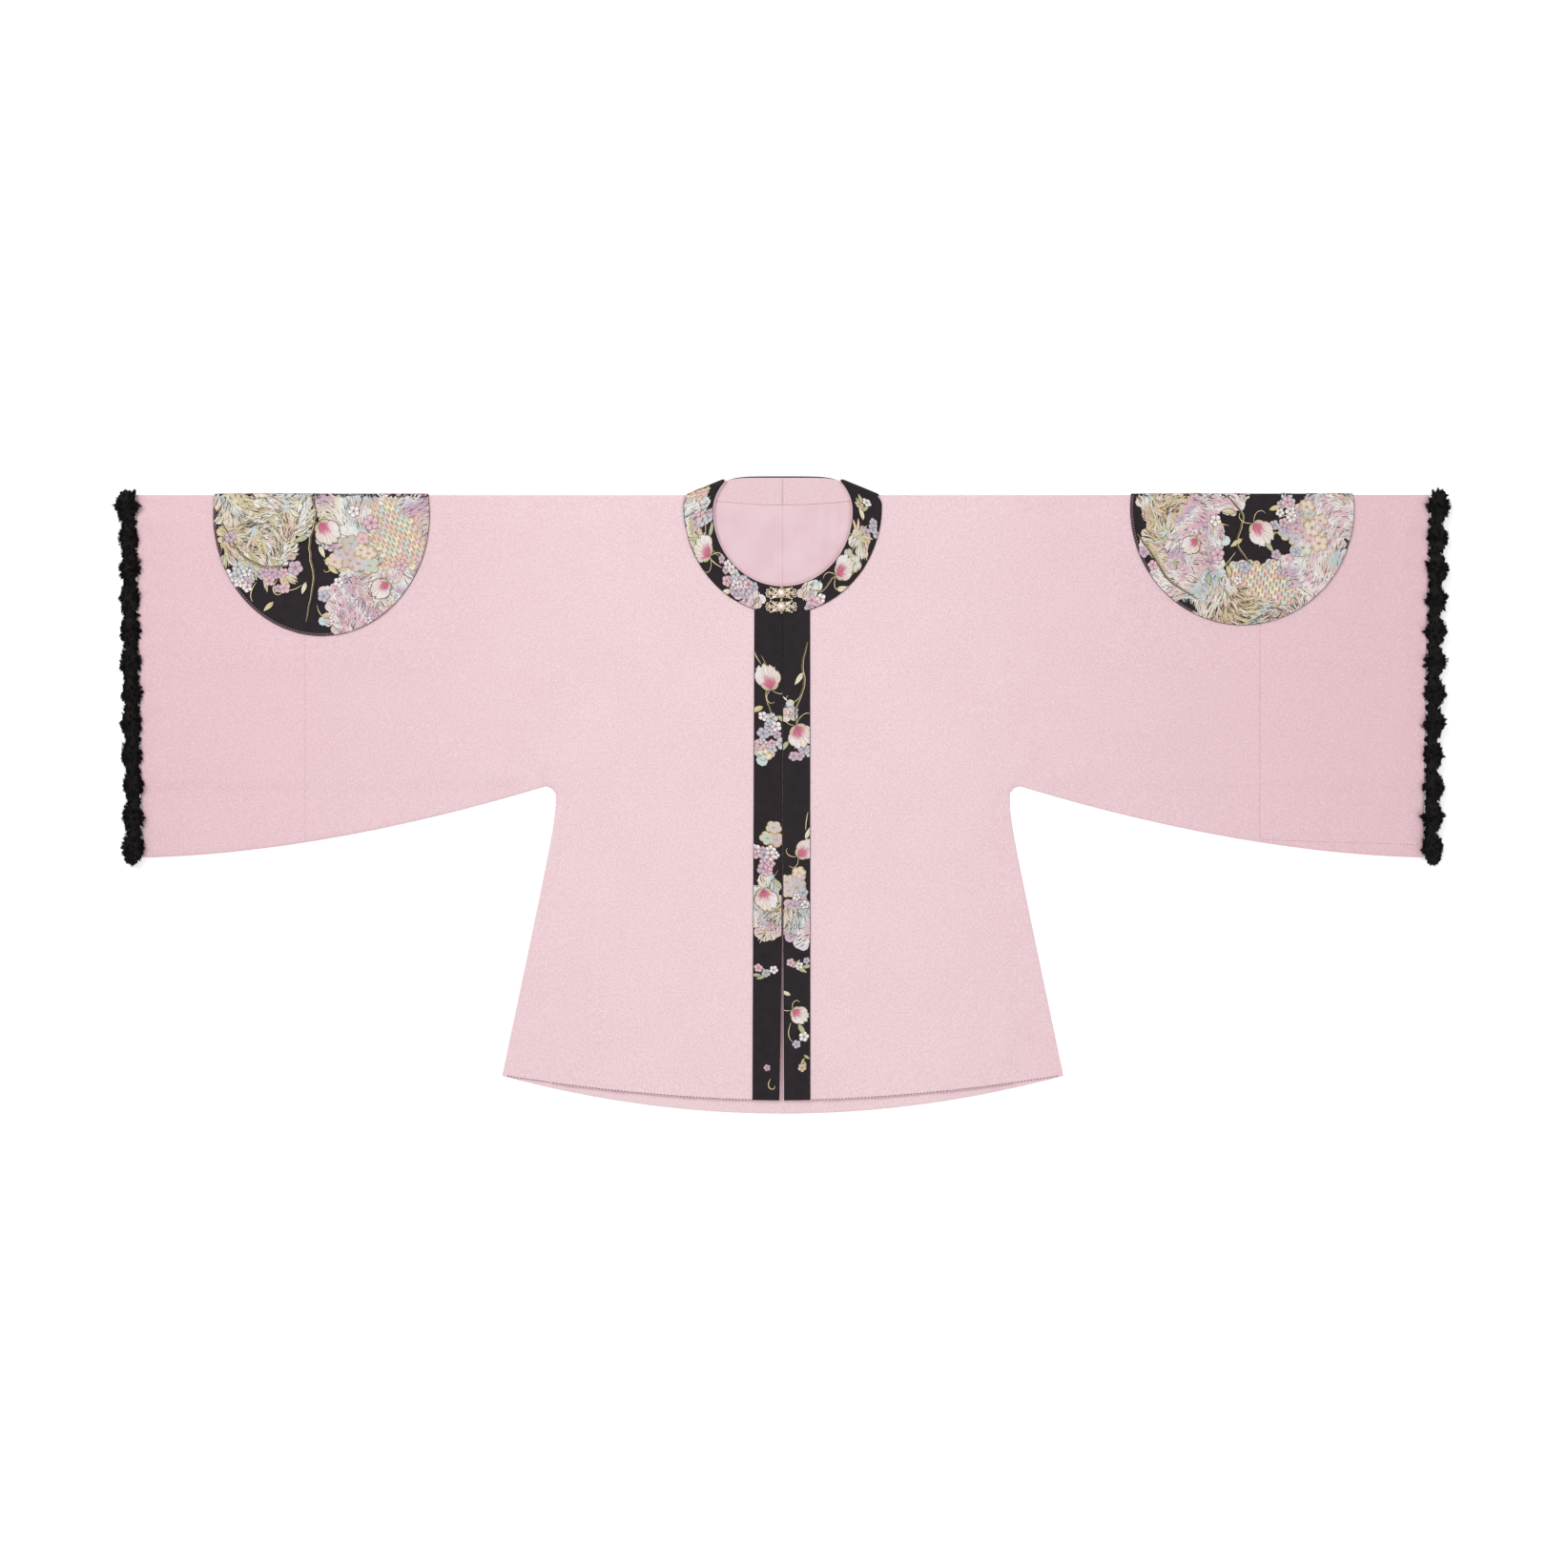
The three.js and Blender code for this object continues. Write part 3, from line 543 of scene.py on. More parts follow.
def pearlMaterial():
    values = {"Roughness": 0.25, "Coat Weight": 0.5, "Coat Roughness": 0.1, "Sheen Weight": 0.2}
    material, nodes, links, shader = newMaterial("creamPearl", values)
    place = nodes.new("ShaderNodeTexCoord").outputs["Object"]
    cloud = ranged(nodes, links, noise(nodes, links, place, 400, 2), 0.3, 0.7)
    base = mixColour(nodes, links, cloud, pearlLook["dark"], pearlLook["pale"])
    links.new(base, shader.inputs["Base Color"])
    return material


pinkWool, shadedFacingWool = woolMaterial("pinkWool", woolLook), woolMaterial("shadedFacingWool", facingShadeLook)
liningSatin, blackBrocade, flowerSilk = satinMaterial(), brocadeMaterial(), silkMaterial()
blackFur, paleGold, creamPearl = furMaterial(), goldMaterial(), pearlMaterial()
print("materials made")


# neck lines
def ovalPoint(oval, degrees, out=0.0):
    a = np.radians(degrees)
    tall = np.where(np.sin(a) < 0, oval["below"], oval["above"])
    return np.stack([(oval["half"] + out) * np.cos(a), oval["y"] + (tall + out) * np.sin(a)], -1)


foldInner = ovalPoint(innerNeck, neck["innerAngle"])
foldOuter = ovalPoint(outerNeck, neck["outerAngle"])
foldRun = foldInner - foldOuter
foldOut = np.array([foldRun[1], -foldRun[0]]) / np.hypot(*foldRun)


def backNeckY(x):
    return mix(-neck["backDrop"], foldOuter[1], (x / foldOuter[0]) ** 2)


# body halves
netStep = {"body": 6.0, "underNeckBand": 4.0, "fineX": 105.6}


def bodyHalf(side):
    net = ClothNet()
    toNeck = netStep["fineX"]
    torsoX = np.concatenate([spaced(toNeck, netStep["body"], last=False),
                             toNeck + spaced(cornerFlat[0] - toNeck, netStep["body"], False, False)[1:]])
    u = torsoX / cornerFlat[0]
    rowsDown = spaced(-cornerFlat[1] - foldR, netStep["body"], first=False, last=False)
    t = rowsDown / rowsDown[-1]
    underX = corner[0] + spaced(cut["seamX"] - seam["gap"] / 2 - corner[0], netStep["body"], first=False)[1:]
    slope = (sleeveDepth(underX + 1) - sleeveDepth(underX - 1)) / 2
    slope[-1] = 0
    underIn = np.stack([slope, np.ones_like(slope)], -1)
    underIn /= np.linalg.norm(underIn, axis=-1, keepdims=True)
    underEdge = np.stack([underX, -sleeveDepth(underX)], -1)
    foot = underEdge + underIn * foldR

    def upper(startX, layer):
        x = np.concatenate([startX[:, None] + (cornerFlat[0] - startX[:, None]) * u[None],
                            np.broadcast_to(foot[:, 0], (len(t), len(foot)))], 1)
        footY = np.concatenate([np.full(len(u), cornerFlat[1]), foot[:, 1]])
        top = -shoulderR(x)
        y = top + (footY[None] - top) * t[:, None]
        toSeam = cut["seamX"] - seam["gap"] / 2 - x
        toCentre = x - startX[:, None]
        return net.add(*layer(x, y, toSeam, toCentre))

    def frontHalf(x, y, toSeam, toCentre):
        drop = np.maximum(sewnRound(toSeam, side["seamDeep"]), edgeRound(toCentre))
        return frontLayer(side, x, y, drop)

    def backHalf(x, y, toSeam, toCentre):
        return backLayer(x, y, sewnRound(np.minimum(toSeam, toCentre)))

    frontStart = mix(side["edgeTop"], side["edgeHem"], np.clip(-cornerFlat[1] * t / cut["frontHem"], 0, 1))
    front = upper(frontStart, frontHalf)
    back = upper(np.full(len(t), seam["gap"] / 2), backHalf)
    topX = net.outer[0].reshape(*front.shape, 3)[0, :, 0]
    turns = np.array([net.add(*shoulderTurn(topX, a)) for a in turnAngles])
    net.weave(np.concatenate([back[::-1], turns[::-1], front]))

    def edgeTurns(edge, inward):
        z = liftAt(edge[..., 0], edge[..., 1]) + foldR
        inner = fold["edgeAir"] / 2
        return np.array([net.add(*turned(edge, inward, a, z, foldR, inner)) for a in turnAngles])

    cornerTurns = edgeTurns(corner[None], cornerIn[None])
    underTurns = np.concatenate([cornerTurns, edgeTurns(underEdge, underIn)], 1)
    torso = len(u)
    net.weave(np.concatenate([front[-1:, torso - 1:], underTurns, back[-1:, torso - 1:]]))

    depth = -corner[1] + spaced(cut["sideHem"] + corner[1], netStep["body"], first=False)[1:]
    slopeSide = (sideX(depth + 1) - sideX(depth - 1)) / 2
    slopeSide[-1] = 0
    sideIn = np.stack([np.full_like(depth, -1.0), -slopeSide], -1)
    sideIn /= np.linalg.norm(sideIn, axis=-1, keepdims=True)
    sideEdge = np.stack([sideX(depth), -depth], -1)
    sideFoot = sideEdge + sideIn * foldR
    share = (depth + corner[1]) / (cut["sideHem"] + corner[1])

    def lower(startX, hem, layer):
        x = startX[:, None] + (sideFoot[:, :1] - startX[:, None]) * u[None]
        spread = cornerFlat[1] + (-hem(x) - cornerFlat[1]) * share[:, None]
        y = np.where(u[None] >= 1, sideFoot[:, 1:], spread)
        return net.add(*layer(x, y, x - startX[:, None], hem(x) + y))

    def frontSkirt(x, y, toCentre, toHem):
        return frontLayer(side, x, y, edgeRound(np.minimum(toCentre, toHem)))

    def backSkirt(x, y, toCentre, toHem):
        return backLayer(x, y, np.maximum(sewnRound(toCentre), edgeRound(toHem)))

    startFront = mix(side["edgeTop"], side["edgeHem"], np.clip(depth / cut["frontHem"], 0, 1))
    lowFront = lower(startFront, frontHem, frontSkirt)
    lowBack = lower(np.full(len(depth), seam["gap"] / 2), backHem, backSkirt)
    sideTurns = edgeTurns(sideEdge, sideIn).T
    waist = np.concatenate([front[-1, :torso], cornerTurns[:, 0], back[-1, :torso][::-1]])
    net.weave(np.concatenate([waist[None], np.concatenate([lowFront, sideTurns, lowBack[:, ::-1]], 1)]))

    kinds = np.full(net.count, 2)  # 0 front, 1 back, 2 turns
    for ids, kind in ((front[1:], 0), (lowFront, 0), (back, 1), (lowBack, 1)):
        kinds[ids.ravel()] = kind
    under = netStep["underNeckBand"]
    turnIds = np.concatenate([turns.ravel(), front[0]])

    def openNeck(outer, inner, quads):
        middle = outer[quads].mean(1)
        byNeck = middle[:, 0] < toNeck
        half = outerNeck["half"] - under
        frontTall = np.where(middle[:, 1] < outerNeck["y"], outerNeck["below"], outerNeck["above"]) - under
        inOval = (middle[:, 0] / half) ** 2 + ((middle[:, 1] - outerNeck["y"]) / frontTall) ** 2 < 1
        isTurn = np.isin(quads, turnIds).any(1) & byNeck
        isBack = (kinds[quads] == 1).all(1)
        isFront = (kinds[quads] == 0).all(1)
        cutBack = isBack & byNeck & (middle[:, 1] > backNeckY(middle[:, 0]) - cloth["seamGap"])
        gone = (isFront & inOval) | isTurn | cutBack
        rim = np.intersect1d(np.unique(quads[gone]), np.unique(quads[~gone]))
        for v in rim:
            x, y = outer[v, 0], outer[v, 1]
            if kinds[v] == 0:
                tall = (outerNeck["below"] if y < outerNeck["y"] else outerNeck["above"]) - under
                f = math.sqrt((x / half) ** 2 + ((y - outerNeck["y"]) / tall) ** 2)
                target = (x / f, outerNeck["y"] + (y - outerNeck["y"]) / f)
            elif kinds[v] == 1:
                target = (x, backNeckY(x) - cloth["seamGap"])
            else:
                continue
            outer[v, :2] = target
            inner[v, :2] = target
        return outer, inner, quads[~gone]

    points, faces = wall(*net.arrays(openNeck))
    piece, _ = meshPiece("bodyCloth" + side["name"].capitalize(), points, faces, side["sign"] < 0)
    dress(piece, pinkWool, ["body_" + side["name"]])
    return piece


def sleeveTube(side):
    net = ClothNet()
    length = cut["cuffTopX"] - cut["seamX"]
    across = spaced(length, netStep["body"]) / length
    downs = spaced(cut["cuffDepth"] - 2 * foldR, netStep["body"], first=False, last=False)
    s = downs / downs[-1]
    startX = cut["seamX"] + seam["gap"] / 2

    def xAt(y):
        return startX + (cuffX(y) - startX) * across[None]

    bottomX = xAt(np.array([[-cut["cuffDepth"]]]))[0]
    edge = np.stack([bottomX, -sleeveDepth(bottomX)], -1)
    inward = np.stack([np.zeros_like(bottomX), np.ones_like(bottomX)], -1)
    y = -foldR + (edge[:, 1] + foldR + foldR)[None] * s[:, None]
    x = xAt(y)
    drop = np.maximum(sewnRound(x - startX, side["seamDeep"]), edgeRound(cuffX(y) - x))
    front = net.add(*frontLayer(side, x, y, drop))
    back = net.add(*backLayer(x, y, drop))
    topX = xAt(np.array([[0.0]]))[0]
    over = np.array([net.add(*shoulderTurn(topX, a)) for a in turnAngles])
    z = liftAt(edge[:, 0], edge[:, 1]) + foldR
    below = np.array([net.add(*turned(edge, inward, a, z, foldR, fold["edgeAir"] / 2)) for a in turnAngles])
    ring = np.concatenate([back[::-1], over[::-1], front, below, back[-1:]])
    net.weave(ring)
    points, faces = wall(*net.arrays())
    piece, _ = meshPiece("sleeveCloth" + side["name"].capitalize(), points, faces, side["sign"] < 0)
    dress(piece, pinkWool, ["sleeve_" + side["name"]])
    return piece


bodies = {side["name"]: bodyHalf(side) for side in sides}
sleeves = {side["name"]: sleeveTube(side) for side in sides}
print("body halves and sleeves made")


# surfaces that carry a pattern: a grid of places, read at any place in the cut cloth
class Surface:
    def __init__(self, places, width, relief, frontRow=0, run=None, oval=False):
        self.places, self.width, self.relief, self.oval = places, width, relief, oval
        self.run = runLength(places[:, places.shape[1] // 2]) if run is None else run
        self.length = self.run[-1]
        normal = np.cross(np.gradient(places, axis=0), np.gradient(places, axis=1))
        self.normals = normal / np.maximum(np.linalg.norm(normal, axis=-1, keepdims=True), 1e-9)
        if self.normals[frontRow, :, 2].mean() < 0:
            self.normals = -self.normals

    def read(self, u, v, h):  # u across and v along, in millimetres; h above the cloth
        rows, cols = self.places.shape[:2]
        fu = np.clip(u / self.width, 0, 1) * (cols - 1)
        fv = np.interp(v, self.run, np.arange(rows))
        i, j = np.minimum(fv.astype(int), rows - 2), np.minimum(fu.astype(int), cols - 2)
        a, b = (fv - i)[:, None], (fu - j)[:, None]

        def at(grid):
            return ((grid[i, j] * (1 - a) + grid[i + 1, j] * a) * (1 - b)
                    + (grid[i, j + 1] * (1 - a) + grid[i + 1, j + 1] * a) * b)
        up = at(self.normals)
        up /= np.linalg.norm(up, axis=-1, keepdims=True)
        low = self.relief[i] * (1 - a[:, 0]) + self.relief[i + 1] * a[:, 0]
        return at(self.places) + up * (h * low)[:, None]

    def keepIn(self, u, v, margin):  # moves what lies outside to the edge; says which were outside
        if self.oval:
            cu, cv = self.width / 2, self.length / 2
            f = np.hypot((u - cu) / (cu - margin), (v - cv) / (cv - margin))
            out = f > 1
            g = np.where(out, f, 1)
            return cu + (u - cu) / g, cv + (v - cv) / g, out
        a, b = np.clip(u, margin, self.width - margin), np.clip(v, margin, self.length - margin)
        return a, b, (a != u) | (b != v)


silk = {
    "cream": rgb(234, 224, 202), "white": rgb(245, 243, 237), "ice": rgb(196, 214, 216),
    "aqua": rgb(160, 196, 196), "blue": rgb(182, 194, 208), "lilac": rgb(198, 176, 198),
    "pink": rgb(228, 186, 198), "rose": rgb(208, 104, 134), "blush": rgb(226, 194, 184),
    "sage": rgb(176, 184, 150), "olive": rgb(88, 75, 46), "gold": rgb(188, 164, 108),
    "paleGold": rgb(216, 200, 156), "bronze": rgb(62, 49, 35), "plum": rgb(130, 78, 100),
    "black": rgb(34, 28, 31), "skin": rgb(222, 200, 188), "mauve": rgb(170, 134, 144),
}


weaving = {"lift": 0.12, "rise": 0.00025, "closeRise": 0.00004}  # each thread lies a little above the last


class Pattern:  # woven flowers on one surface, gathered into one mesh
    def __init__(self, surface, seed, lift=weaving["lift"]):
        self.surface = surface
        self.rng = np.random.default_rng(seed)
        self.points, self.tris, self.tints, self.uvs = [], [], [], []
        self.count = 0
        self.level = lift
        self.rise = weaving["rise"]

    def patch(self, u, v, h, tints, tris, metal, uv):
        self.points.append(np.stack([u, v, h + self.level], -1))
        rgba = np.concatenate([np.broadcast_to(tints, (len(u), 3)), np.full((len(u), 1), metal)], 1)
        self.tints.append(rgba)
        self.tris.append(tris + self.count)
        self.uvs.append(uv)
        self.count += len(u)
        self.level += self.rise

    def blade(self, start, angle, length, width, tints, tip, bend, dome, rows, outline="olive"):
        # a petal or leaf: widest at tip, three points across
        s = np.linspace(0, 1, rows)
        power = math.log(0.5) / math.log(tip)
        half = width / 2 * np.sin(math.pi * s ** power) ** 0.75 + 0.05
        turn = angle + bend * s
        step = length / (rows - 1)
        cx = start[0] + np.concatenate([[0], np.cumsum(np.cos(turn[:-1]) * step)])
        cy = start[1] + np.concatenate([[0], np.cumsum(np.sin(turn[:-1]) * step)])
        nx, ny = -np.sin(turn), np.cos(turn)
        u = np.stack([cx + nx * half, cx, cx - nx * half], 1).ravel()
        v = np.stack([cy + ny * half, cy, cy - ny * half], 1).ravel()
        h = np.stack([np.zeros(rows), np.full(rows, dome), np.zeros(rows)], 1).ravel()
        base, top = np.array(tints[0]), np.array(tints[1])
        along = s[:, None, None] + self.rng.uniform(-0.14, 0.14, (rows, 3, 1))
        colour = (base + (top - base) * np.clip(along, 0, 1)).reshape(-1, 3)
        tris = []
        for r in range(rows - 1):
            for c in range(2):
                a = r * 3 + c
                tris += [(a, a + 3, a + 4), (a, a + 4, a + 1)]
        uv = np.stack([np.repeat(s * length, 3), np.stack([half, 0 * half, -half], 1).ravel()], -1)
        self.patch(u, v, h, colour, np.array(tris), 0.0, uv)
        left = np.stack([cx + nx * half, cy + ny * half], 1)
        right = np.stack([cx - nx * half, cy - ny * half], 1)
        self.thread(np.concatenate([left, right[::-1]]), max(0.55, width * 0.06), outline)

    def thread(self, path, width, tint, metal=0.8, taper=False, height=0.1):
        path = np.asarray(path, dtype=float)
        n = len(path)
        d = np.gradient(path, axis=0)
        d /= np.maximum(np.linalg.norm(d, axis=1, keepdims=True), 1e-9)
        half = np.full(n, width / 2)
        if taper:
            half = half * np.sin(np.linspace(0.12, math.pi - 0.12, n)) ** 0.6
        nx, ny = -d[:, 1], d[:, 0]
        u = np.stack([path[:, 0] + nx * half, path[:, 0] - nx * half], 1).ravel()
        v = np.stack([path[:, 1] + ny * half, path[:, 1] - ny * half], 1).ravel()
        colour = np.array(silk[tint]) if isinstance(tint, str) else np.array(tint)
        shade = self.rng.uniform(0.8, 1.15, (n, 1))
        colour = np.repeat(np.clip(colour[None] * shade, 0, 1), 2, axis=0)
        i = np.arange(n - 1) * 2
        tris = np.concatenate([np.stack([i, i + 2, i + 3], 1), np.stack([i, i + 3, i + 1], 1)])
        run = runLength(path)
        uv = np.stack([np.repeat(run, 2), np.tile([0.3, -0.3], n)], -1)
        self.patch(u, v, np.full(2 * n, height), colour, tris, metal, uv)

    def disc(self, centre, radius, tints, sides, dome, metal=0.0, outline=None):
        a = np.linspace(0, 2 * math.pi, sides, endpoint=False)
        ring = np.stack([centre[0] + np.cos(a) * radius, centre[1] + np.sin(a) * radius], 1)
        u = np.concatenate([[centre[0]], ring[:, 0]])
        v = np.concatenate([[centre[1]], ring[:, 1]])
        h = np.concatenate([[dome], np.zeros(sides)])
        colour = np.concatenate([[tints[0]], np.tile(tints[1], (sides, 1))])
        k = np.arange(sides)
        tris = np.stack([np.zeros(sides, int), k + 1, (k + 1) % sides + 1], 1)
        uv = np.stack([u - centre[0], v - centre[1]], -1)
        self.patch(u, v, h, colour, tris, metal, uv)
        if outline:
            self.thread(np.concatenate([ring, ring[:1]]), max(0.45, radius * 0.2), outline)

    # motifs
    def blossom(self, at, size, petal="blue", heart="gold", petals=5):
        turn = self.rng.uniform(0, 6.28)
        for k in range(petals):
            a = turn + k * 2 * math.pi / petals
            where = (at[0] + math.cos(a) * size * 0.52, at[1] + math.sin(a) * size * 0.52)
            pale = np.clip(np.array(silk[petal]) * 1.12 + 0.03, 0, 1)
            self.disc(where, size * 0.42, (silk[petal], pale), 8, 0.2, outline="mauve")
        self.disc(at, size * 0.2, (silk[heart], silk["bronze"]), 6, 0.4, metal=0.8)

    def sprig(self, at, angle, length, leaves=3, tint="sage"):
        for k in range(leaves):
            side = 1 if k % 2 else -1
            s = k / max(1, leaves - 1)
            where = (at[0] + math.cos(angle) * length * 0.5 * s, at[1] + math.sin(angle) * length * 0.5 * s)
            self.leaf(where, angle + side * mix(0.75, 0.15, s), length * 0.6, tint)

    def leaf(self, at, angle, length, tint="sage"):
        pale = np.clip(np.array(silk[tint]) * 1.25, 0, 1)
        bend = self.rng.uniform(-0.5, 0.5)
        self.blade(at, angle, length, length * 0.36, (silk[tint], pale), 0.42, bend, 0.22, 6)
        rib = np.stack([at[0] + np.cos(angle + bend * 0.4) * np.linspace(0, length * 0.85, 4),
                        at[1] + np.sin(angle + bend * 0.4) * np.linspace(0, length * 0.85, 4)], 1)
        self.thread(rib, 0.5, "gold", height=0.26)

    def bud(self, at, angle, size):  # a half-open flower: pale petals, rose at the foot, fine veins
        petals = [(-0.66, 0.82), (0.66, 0.82), (-0.36, 0.95), (0.36, 0.95), (0.0, 1.0)]
        for k, (off, scale) in enumerate(petals):
            tone = (silk["pink"], silk["white"] if k % 2 else silk["cream"])
            self.blade(at, angle + off, size * scale, size * 0.46, tone, 0.58, -off * 0.9, 0.35, 8)
            for spread in (-0.26, -0.13, 0.0, 0.13, 0.26):
                reach = size * scale * self.rng.uniform(0.34, 0.6)
                turn = angle + off * 0.8 + spread
                way = np.array([[math.cos(turn), math.sin(turn)]])
                vein = np.linspace(0.08, 1, 5)[:, None] * reach * way + np.array(at)
                self.thread(vein, size * 0.035, "rose", 0.0, True, 0.42)
            for spread in (-0.2, 0.0, 0.2):
                turn = angle + off * 0.6 + spread
                way = np.array([[math.cos(turn), math.sin(turn)]])
                vein = np.linspace(0.55, 0.95, 4)[:, None] * size * scale * way + np.array(at)
                self.thread(vein, size * 0.03, "white", 0.0, True, 0.42)
        tone = (silk["sage"], silk["paleGold"])
        for off in (-1.2, -0.5, 0.5, 1.2):
            self.blade(at, angle + off, size * 0.4, size * 0.16, tone, 0.4, -off * 0.4, 0.3, 5)
        for off in (-2.4, 2.2):
            self.tendril(at, angle + off, size * 0.8, "paleGold", self.rng.uniform(2, 4), 0.8)

    def branch(self, path, width, tint="olive"):
        t = np.linspace(0, 1, 24)
        path = np.asarray(path, dtype=float)
        knots = np.linspace(0, 1, len(path))
        x, y = np.interp(t, knots, path[:, 0]), np.interp(t, knots, path[:, 1])
        for _ in range(3):
            x[1:-1] = (x[:-2] + 2 * x[1:-1] + x[2:]) / 4
            y[1:-1] = (y[:-2] + 2 * y[1:-1] + y[2:]) / 4
        x += self.rng.normal(0, width * 0.1, 24)
        line = np.stack([x, y], 1)
        self.thread(line, width, tint, 0.55, True)
        self.thread(line + [width * 0.28, 0], width * 0.22, "paleGold", 0.8, True, 0.16)

    def tendril(self, at, angle, length, tint="paleGold", curl=4.0, width=0.8):
        s = np.linspace(0, 1, 18)
        turn = angle + curl * s ** 2
        step = length / 17
        x = at[0] + np.concatenate([[0], np.cumsum(np.cos(turn[:-1]) * step)])
        y = at[1] + np.concatenate([[0], np.cumsum(np.sin(turn[:-1]) * step)])
        self.thread(np.stack([x, y], 1), width, tint, 0.8, True, 0.14)

    def cloud(self, at, size, tint="ice", inner="pink"):
        turn = self.rng.uniform(0, 6.28)
        for k in range(5):
            a = turn + k * 1.26
            where = (at[0] + math.cos(a) * size * 0.5, at[1] + math.sin(a) * size * 0.42)
            self.disc(where, size * 0.45, (silk[inner], silk[tint]), 12, 0.3, outline="gold")
            self.disc(where, size * 0.2, (silk["white"], silk[inner]), 7, 0.38)
        self.tendril(at, turn, size * 1.5, "gold", 6.0, 0.8)

    def plumes(self, at, angle, length, count):
        tones = ("paleGold", "sage", "ice", "blush", "gold")
        for k in range(count):
            off = mix(-0.7, 0.7, (k + 0.5) / count) + self.rng.uniform(-0.08, 0.08)
            tone = silk[pick(self, tones)]
            pale = np.clip(np.array(tone) * 1.15, 0, 1)
            size = length * self.rng.uniform(0.7, 1.05)
            bend = self.rng.uniform(-0.9, 0.9)
            self.blade(at, angle + off, size, length * 0.15, (tone, pale), 0.6, bend, 0.3, 6,
                       "olive" if k % 2 else "gold")

    def scales(self, inside, size, tones, heart="rose", turn=0.3):  # rows of overlapping rounds
        w, l = self.surface.width, self.surface.length
        c, s = math.cos(turn), math.sin(turn)
        reach = max(w, l) * 0.75
        row = 0
        y = -reach
        while y < reach:
            x = -reach + (size * 0.5 if row % 2 else 0)
            while x < reach:
                u, v = w / 2 + x * c - y * s, l / 2 + x * s + y * c
                if inside(u, v):
                    tone = silk[pick(self, tones)]
                    pale = np.clip(np.array(tone) * 1.1, 0, 1)
                    self.disc((u, v), size * 0.6, (pale, tone), 9, 0.22, outline="gold")
                    foot = (u - s * -size * 0.22, v + c * -size * 0.22)
                    self.disc(foot, size * 0.2, (silk[heart], silk["plum"]), 5, 0.3)
                x += size
            y += size * 0.62
            row += 1

    def build(self, name, mirror):
        p, tris = np.concatenate(self.points), np.concatenate(self.tris)
        tints, uvs = np.concatenate(self.tints), np.concatenate(self.uvs)
        u, v, out = self.surface.keepIn(p[:, 0], p[:, 1], 0.5)
        tris = tris[~out[tris].all(1)]
        places = self.surface.read(u, v, p[:, 2])
        a, b, c = places[tris[:, 0]], places[tris[:, 1]], places[tris[:, 2]]
        up = self.surface.read(u, v, p[:, 2] + 1) - places
        facing = np.einsum("ij,ij->i", np.cross(b - a, c - a), up[tris[:, 0]])
        area = np.linalg.norm(np.cross(b - a, c - a), axis=1)
        tris = np.where((facing < 0)[:, None], tris[:, ::-1], tris)[area > 1e-4]
        piece, used = meshPiece(name, places, tris, mirror, smoothed=False)
        colours = piece.data.color_attributes.new(name="silk", type="FLOAT_COLOR", domain="POINT")
        colours.data.foreach_set("color", tints[used].ravel())
        storeUv(piece, uvs, used)
        dress(piece, flowerSilk)
        print(name, len(tris), "faces")
        return piece


# collar, its facing and the lining
collar = {
    "facingOuter": 1.95, "facingInner": 0.15, "bandInner": 2.25, "bandOuter": 3.65, "backFlat": 0.35,
    "frontRows": 84, "backRows": 40, "width": 31.0, "lip": 1.4, "underBody": 5.5, "pull": 0.12, "peek": 0.036,
}


def collarRows(side):
    t = np.linspace(0, 1, collar["frontRows"])
    inner = ovalPoint(innerNeck, mix(-90, neck["innerAngle"], t))
    outer = ovalPoint(outerNeck, mix(-90, neck["outerAngle"], t))
    clear = side["edgeTop"] + cloth["seamGap"]
    inner[:, 0], outer[:, 0] = np.maximum(inner[:, 0], clear), np.maximum(outer[:, 0], clear)
    turns = len(turnAngles)
    b = np.linspace(0, 1, collar["backRows"])
    topX, neckX = mix(foldInner[0], 0.05, b), mix(foldOuter[0], 0.05, b)
    topY = neck["topY"] - (neck["topY"] - foldInner[1]) * (1 - b) ** 6
    inner = np.concatenate([inner, np.tile(foldInner, (turns, 1)), np.stack([topX, topY], 1)])
    outer = np.concatenate([outer, np.tile(foldOuter, (turns, 1)), np.stack([neckX, backNeckY(neckX)], 1)])
    angle = np.concatenate([np.full(len(t), math.pi / 2), turnAngles, np.full(len(b), -math.pi / 2)])
    return inner, outer, angle


def collarPlaces(rows, w, r):  # w runs from 0 at the neck edge to 1 at the seam with the body
    inner, outer, angle = rows
    w = np.broadcast_to(w, (len(angle), w.shape[-1]))
    r = np.broadcast_to(r, w.shape)
    xy = inner[:, None] + (outer - inner)[:, None] * w[..., None]
    bulge = r * np.cos(angle)[:, None]
    return np.stack([xy[..., 0] + foldOut[0] * bulge, xy[..., 1] + foldOut[1] * bulge,
                     neck["foldZ"] + r * np.sin(angle)[:, None]], -1)


def shell(name, outer, inner, side, uv=None):
    net = ClothNet()
    ids = net.add(outer, inner)
    net.weave(ids)
    o, i, q = net.arrays()
    a = o[q[:, 0]]
    normal = np.cross(o[q[:, 1]] - a, o[q[:, 2]] - a)
    if np.einsum("ij,ij->i", normal, a - i[q[:, 0]]).sum() < 0:
        q = q[:, ::-1]
    points, faces = wall(o, i, q)
    piece, used = meshPiece(name, points, faces, side["sign"] < 0)
    if uv is not None:
        flat = uv.reshape(-1, 2)
        storeUv(piece, np.concatenate([flat, flat]), used)
    return piece


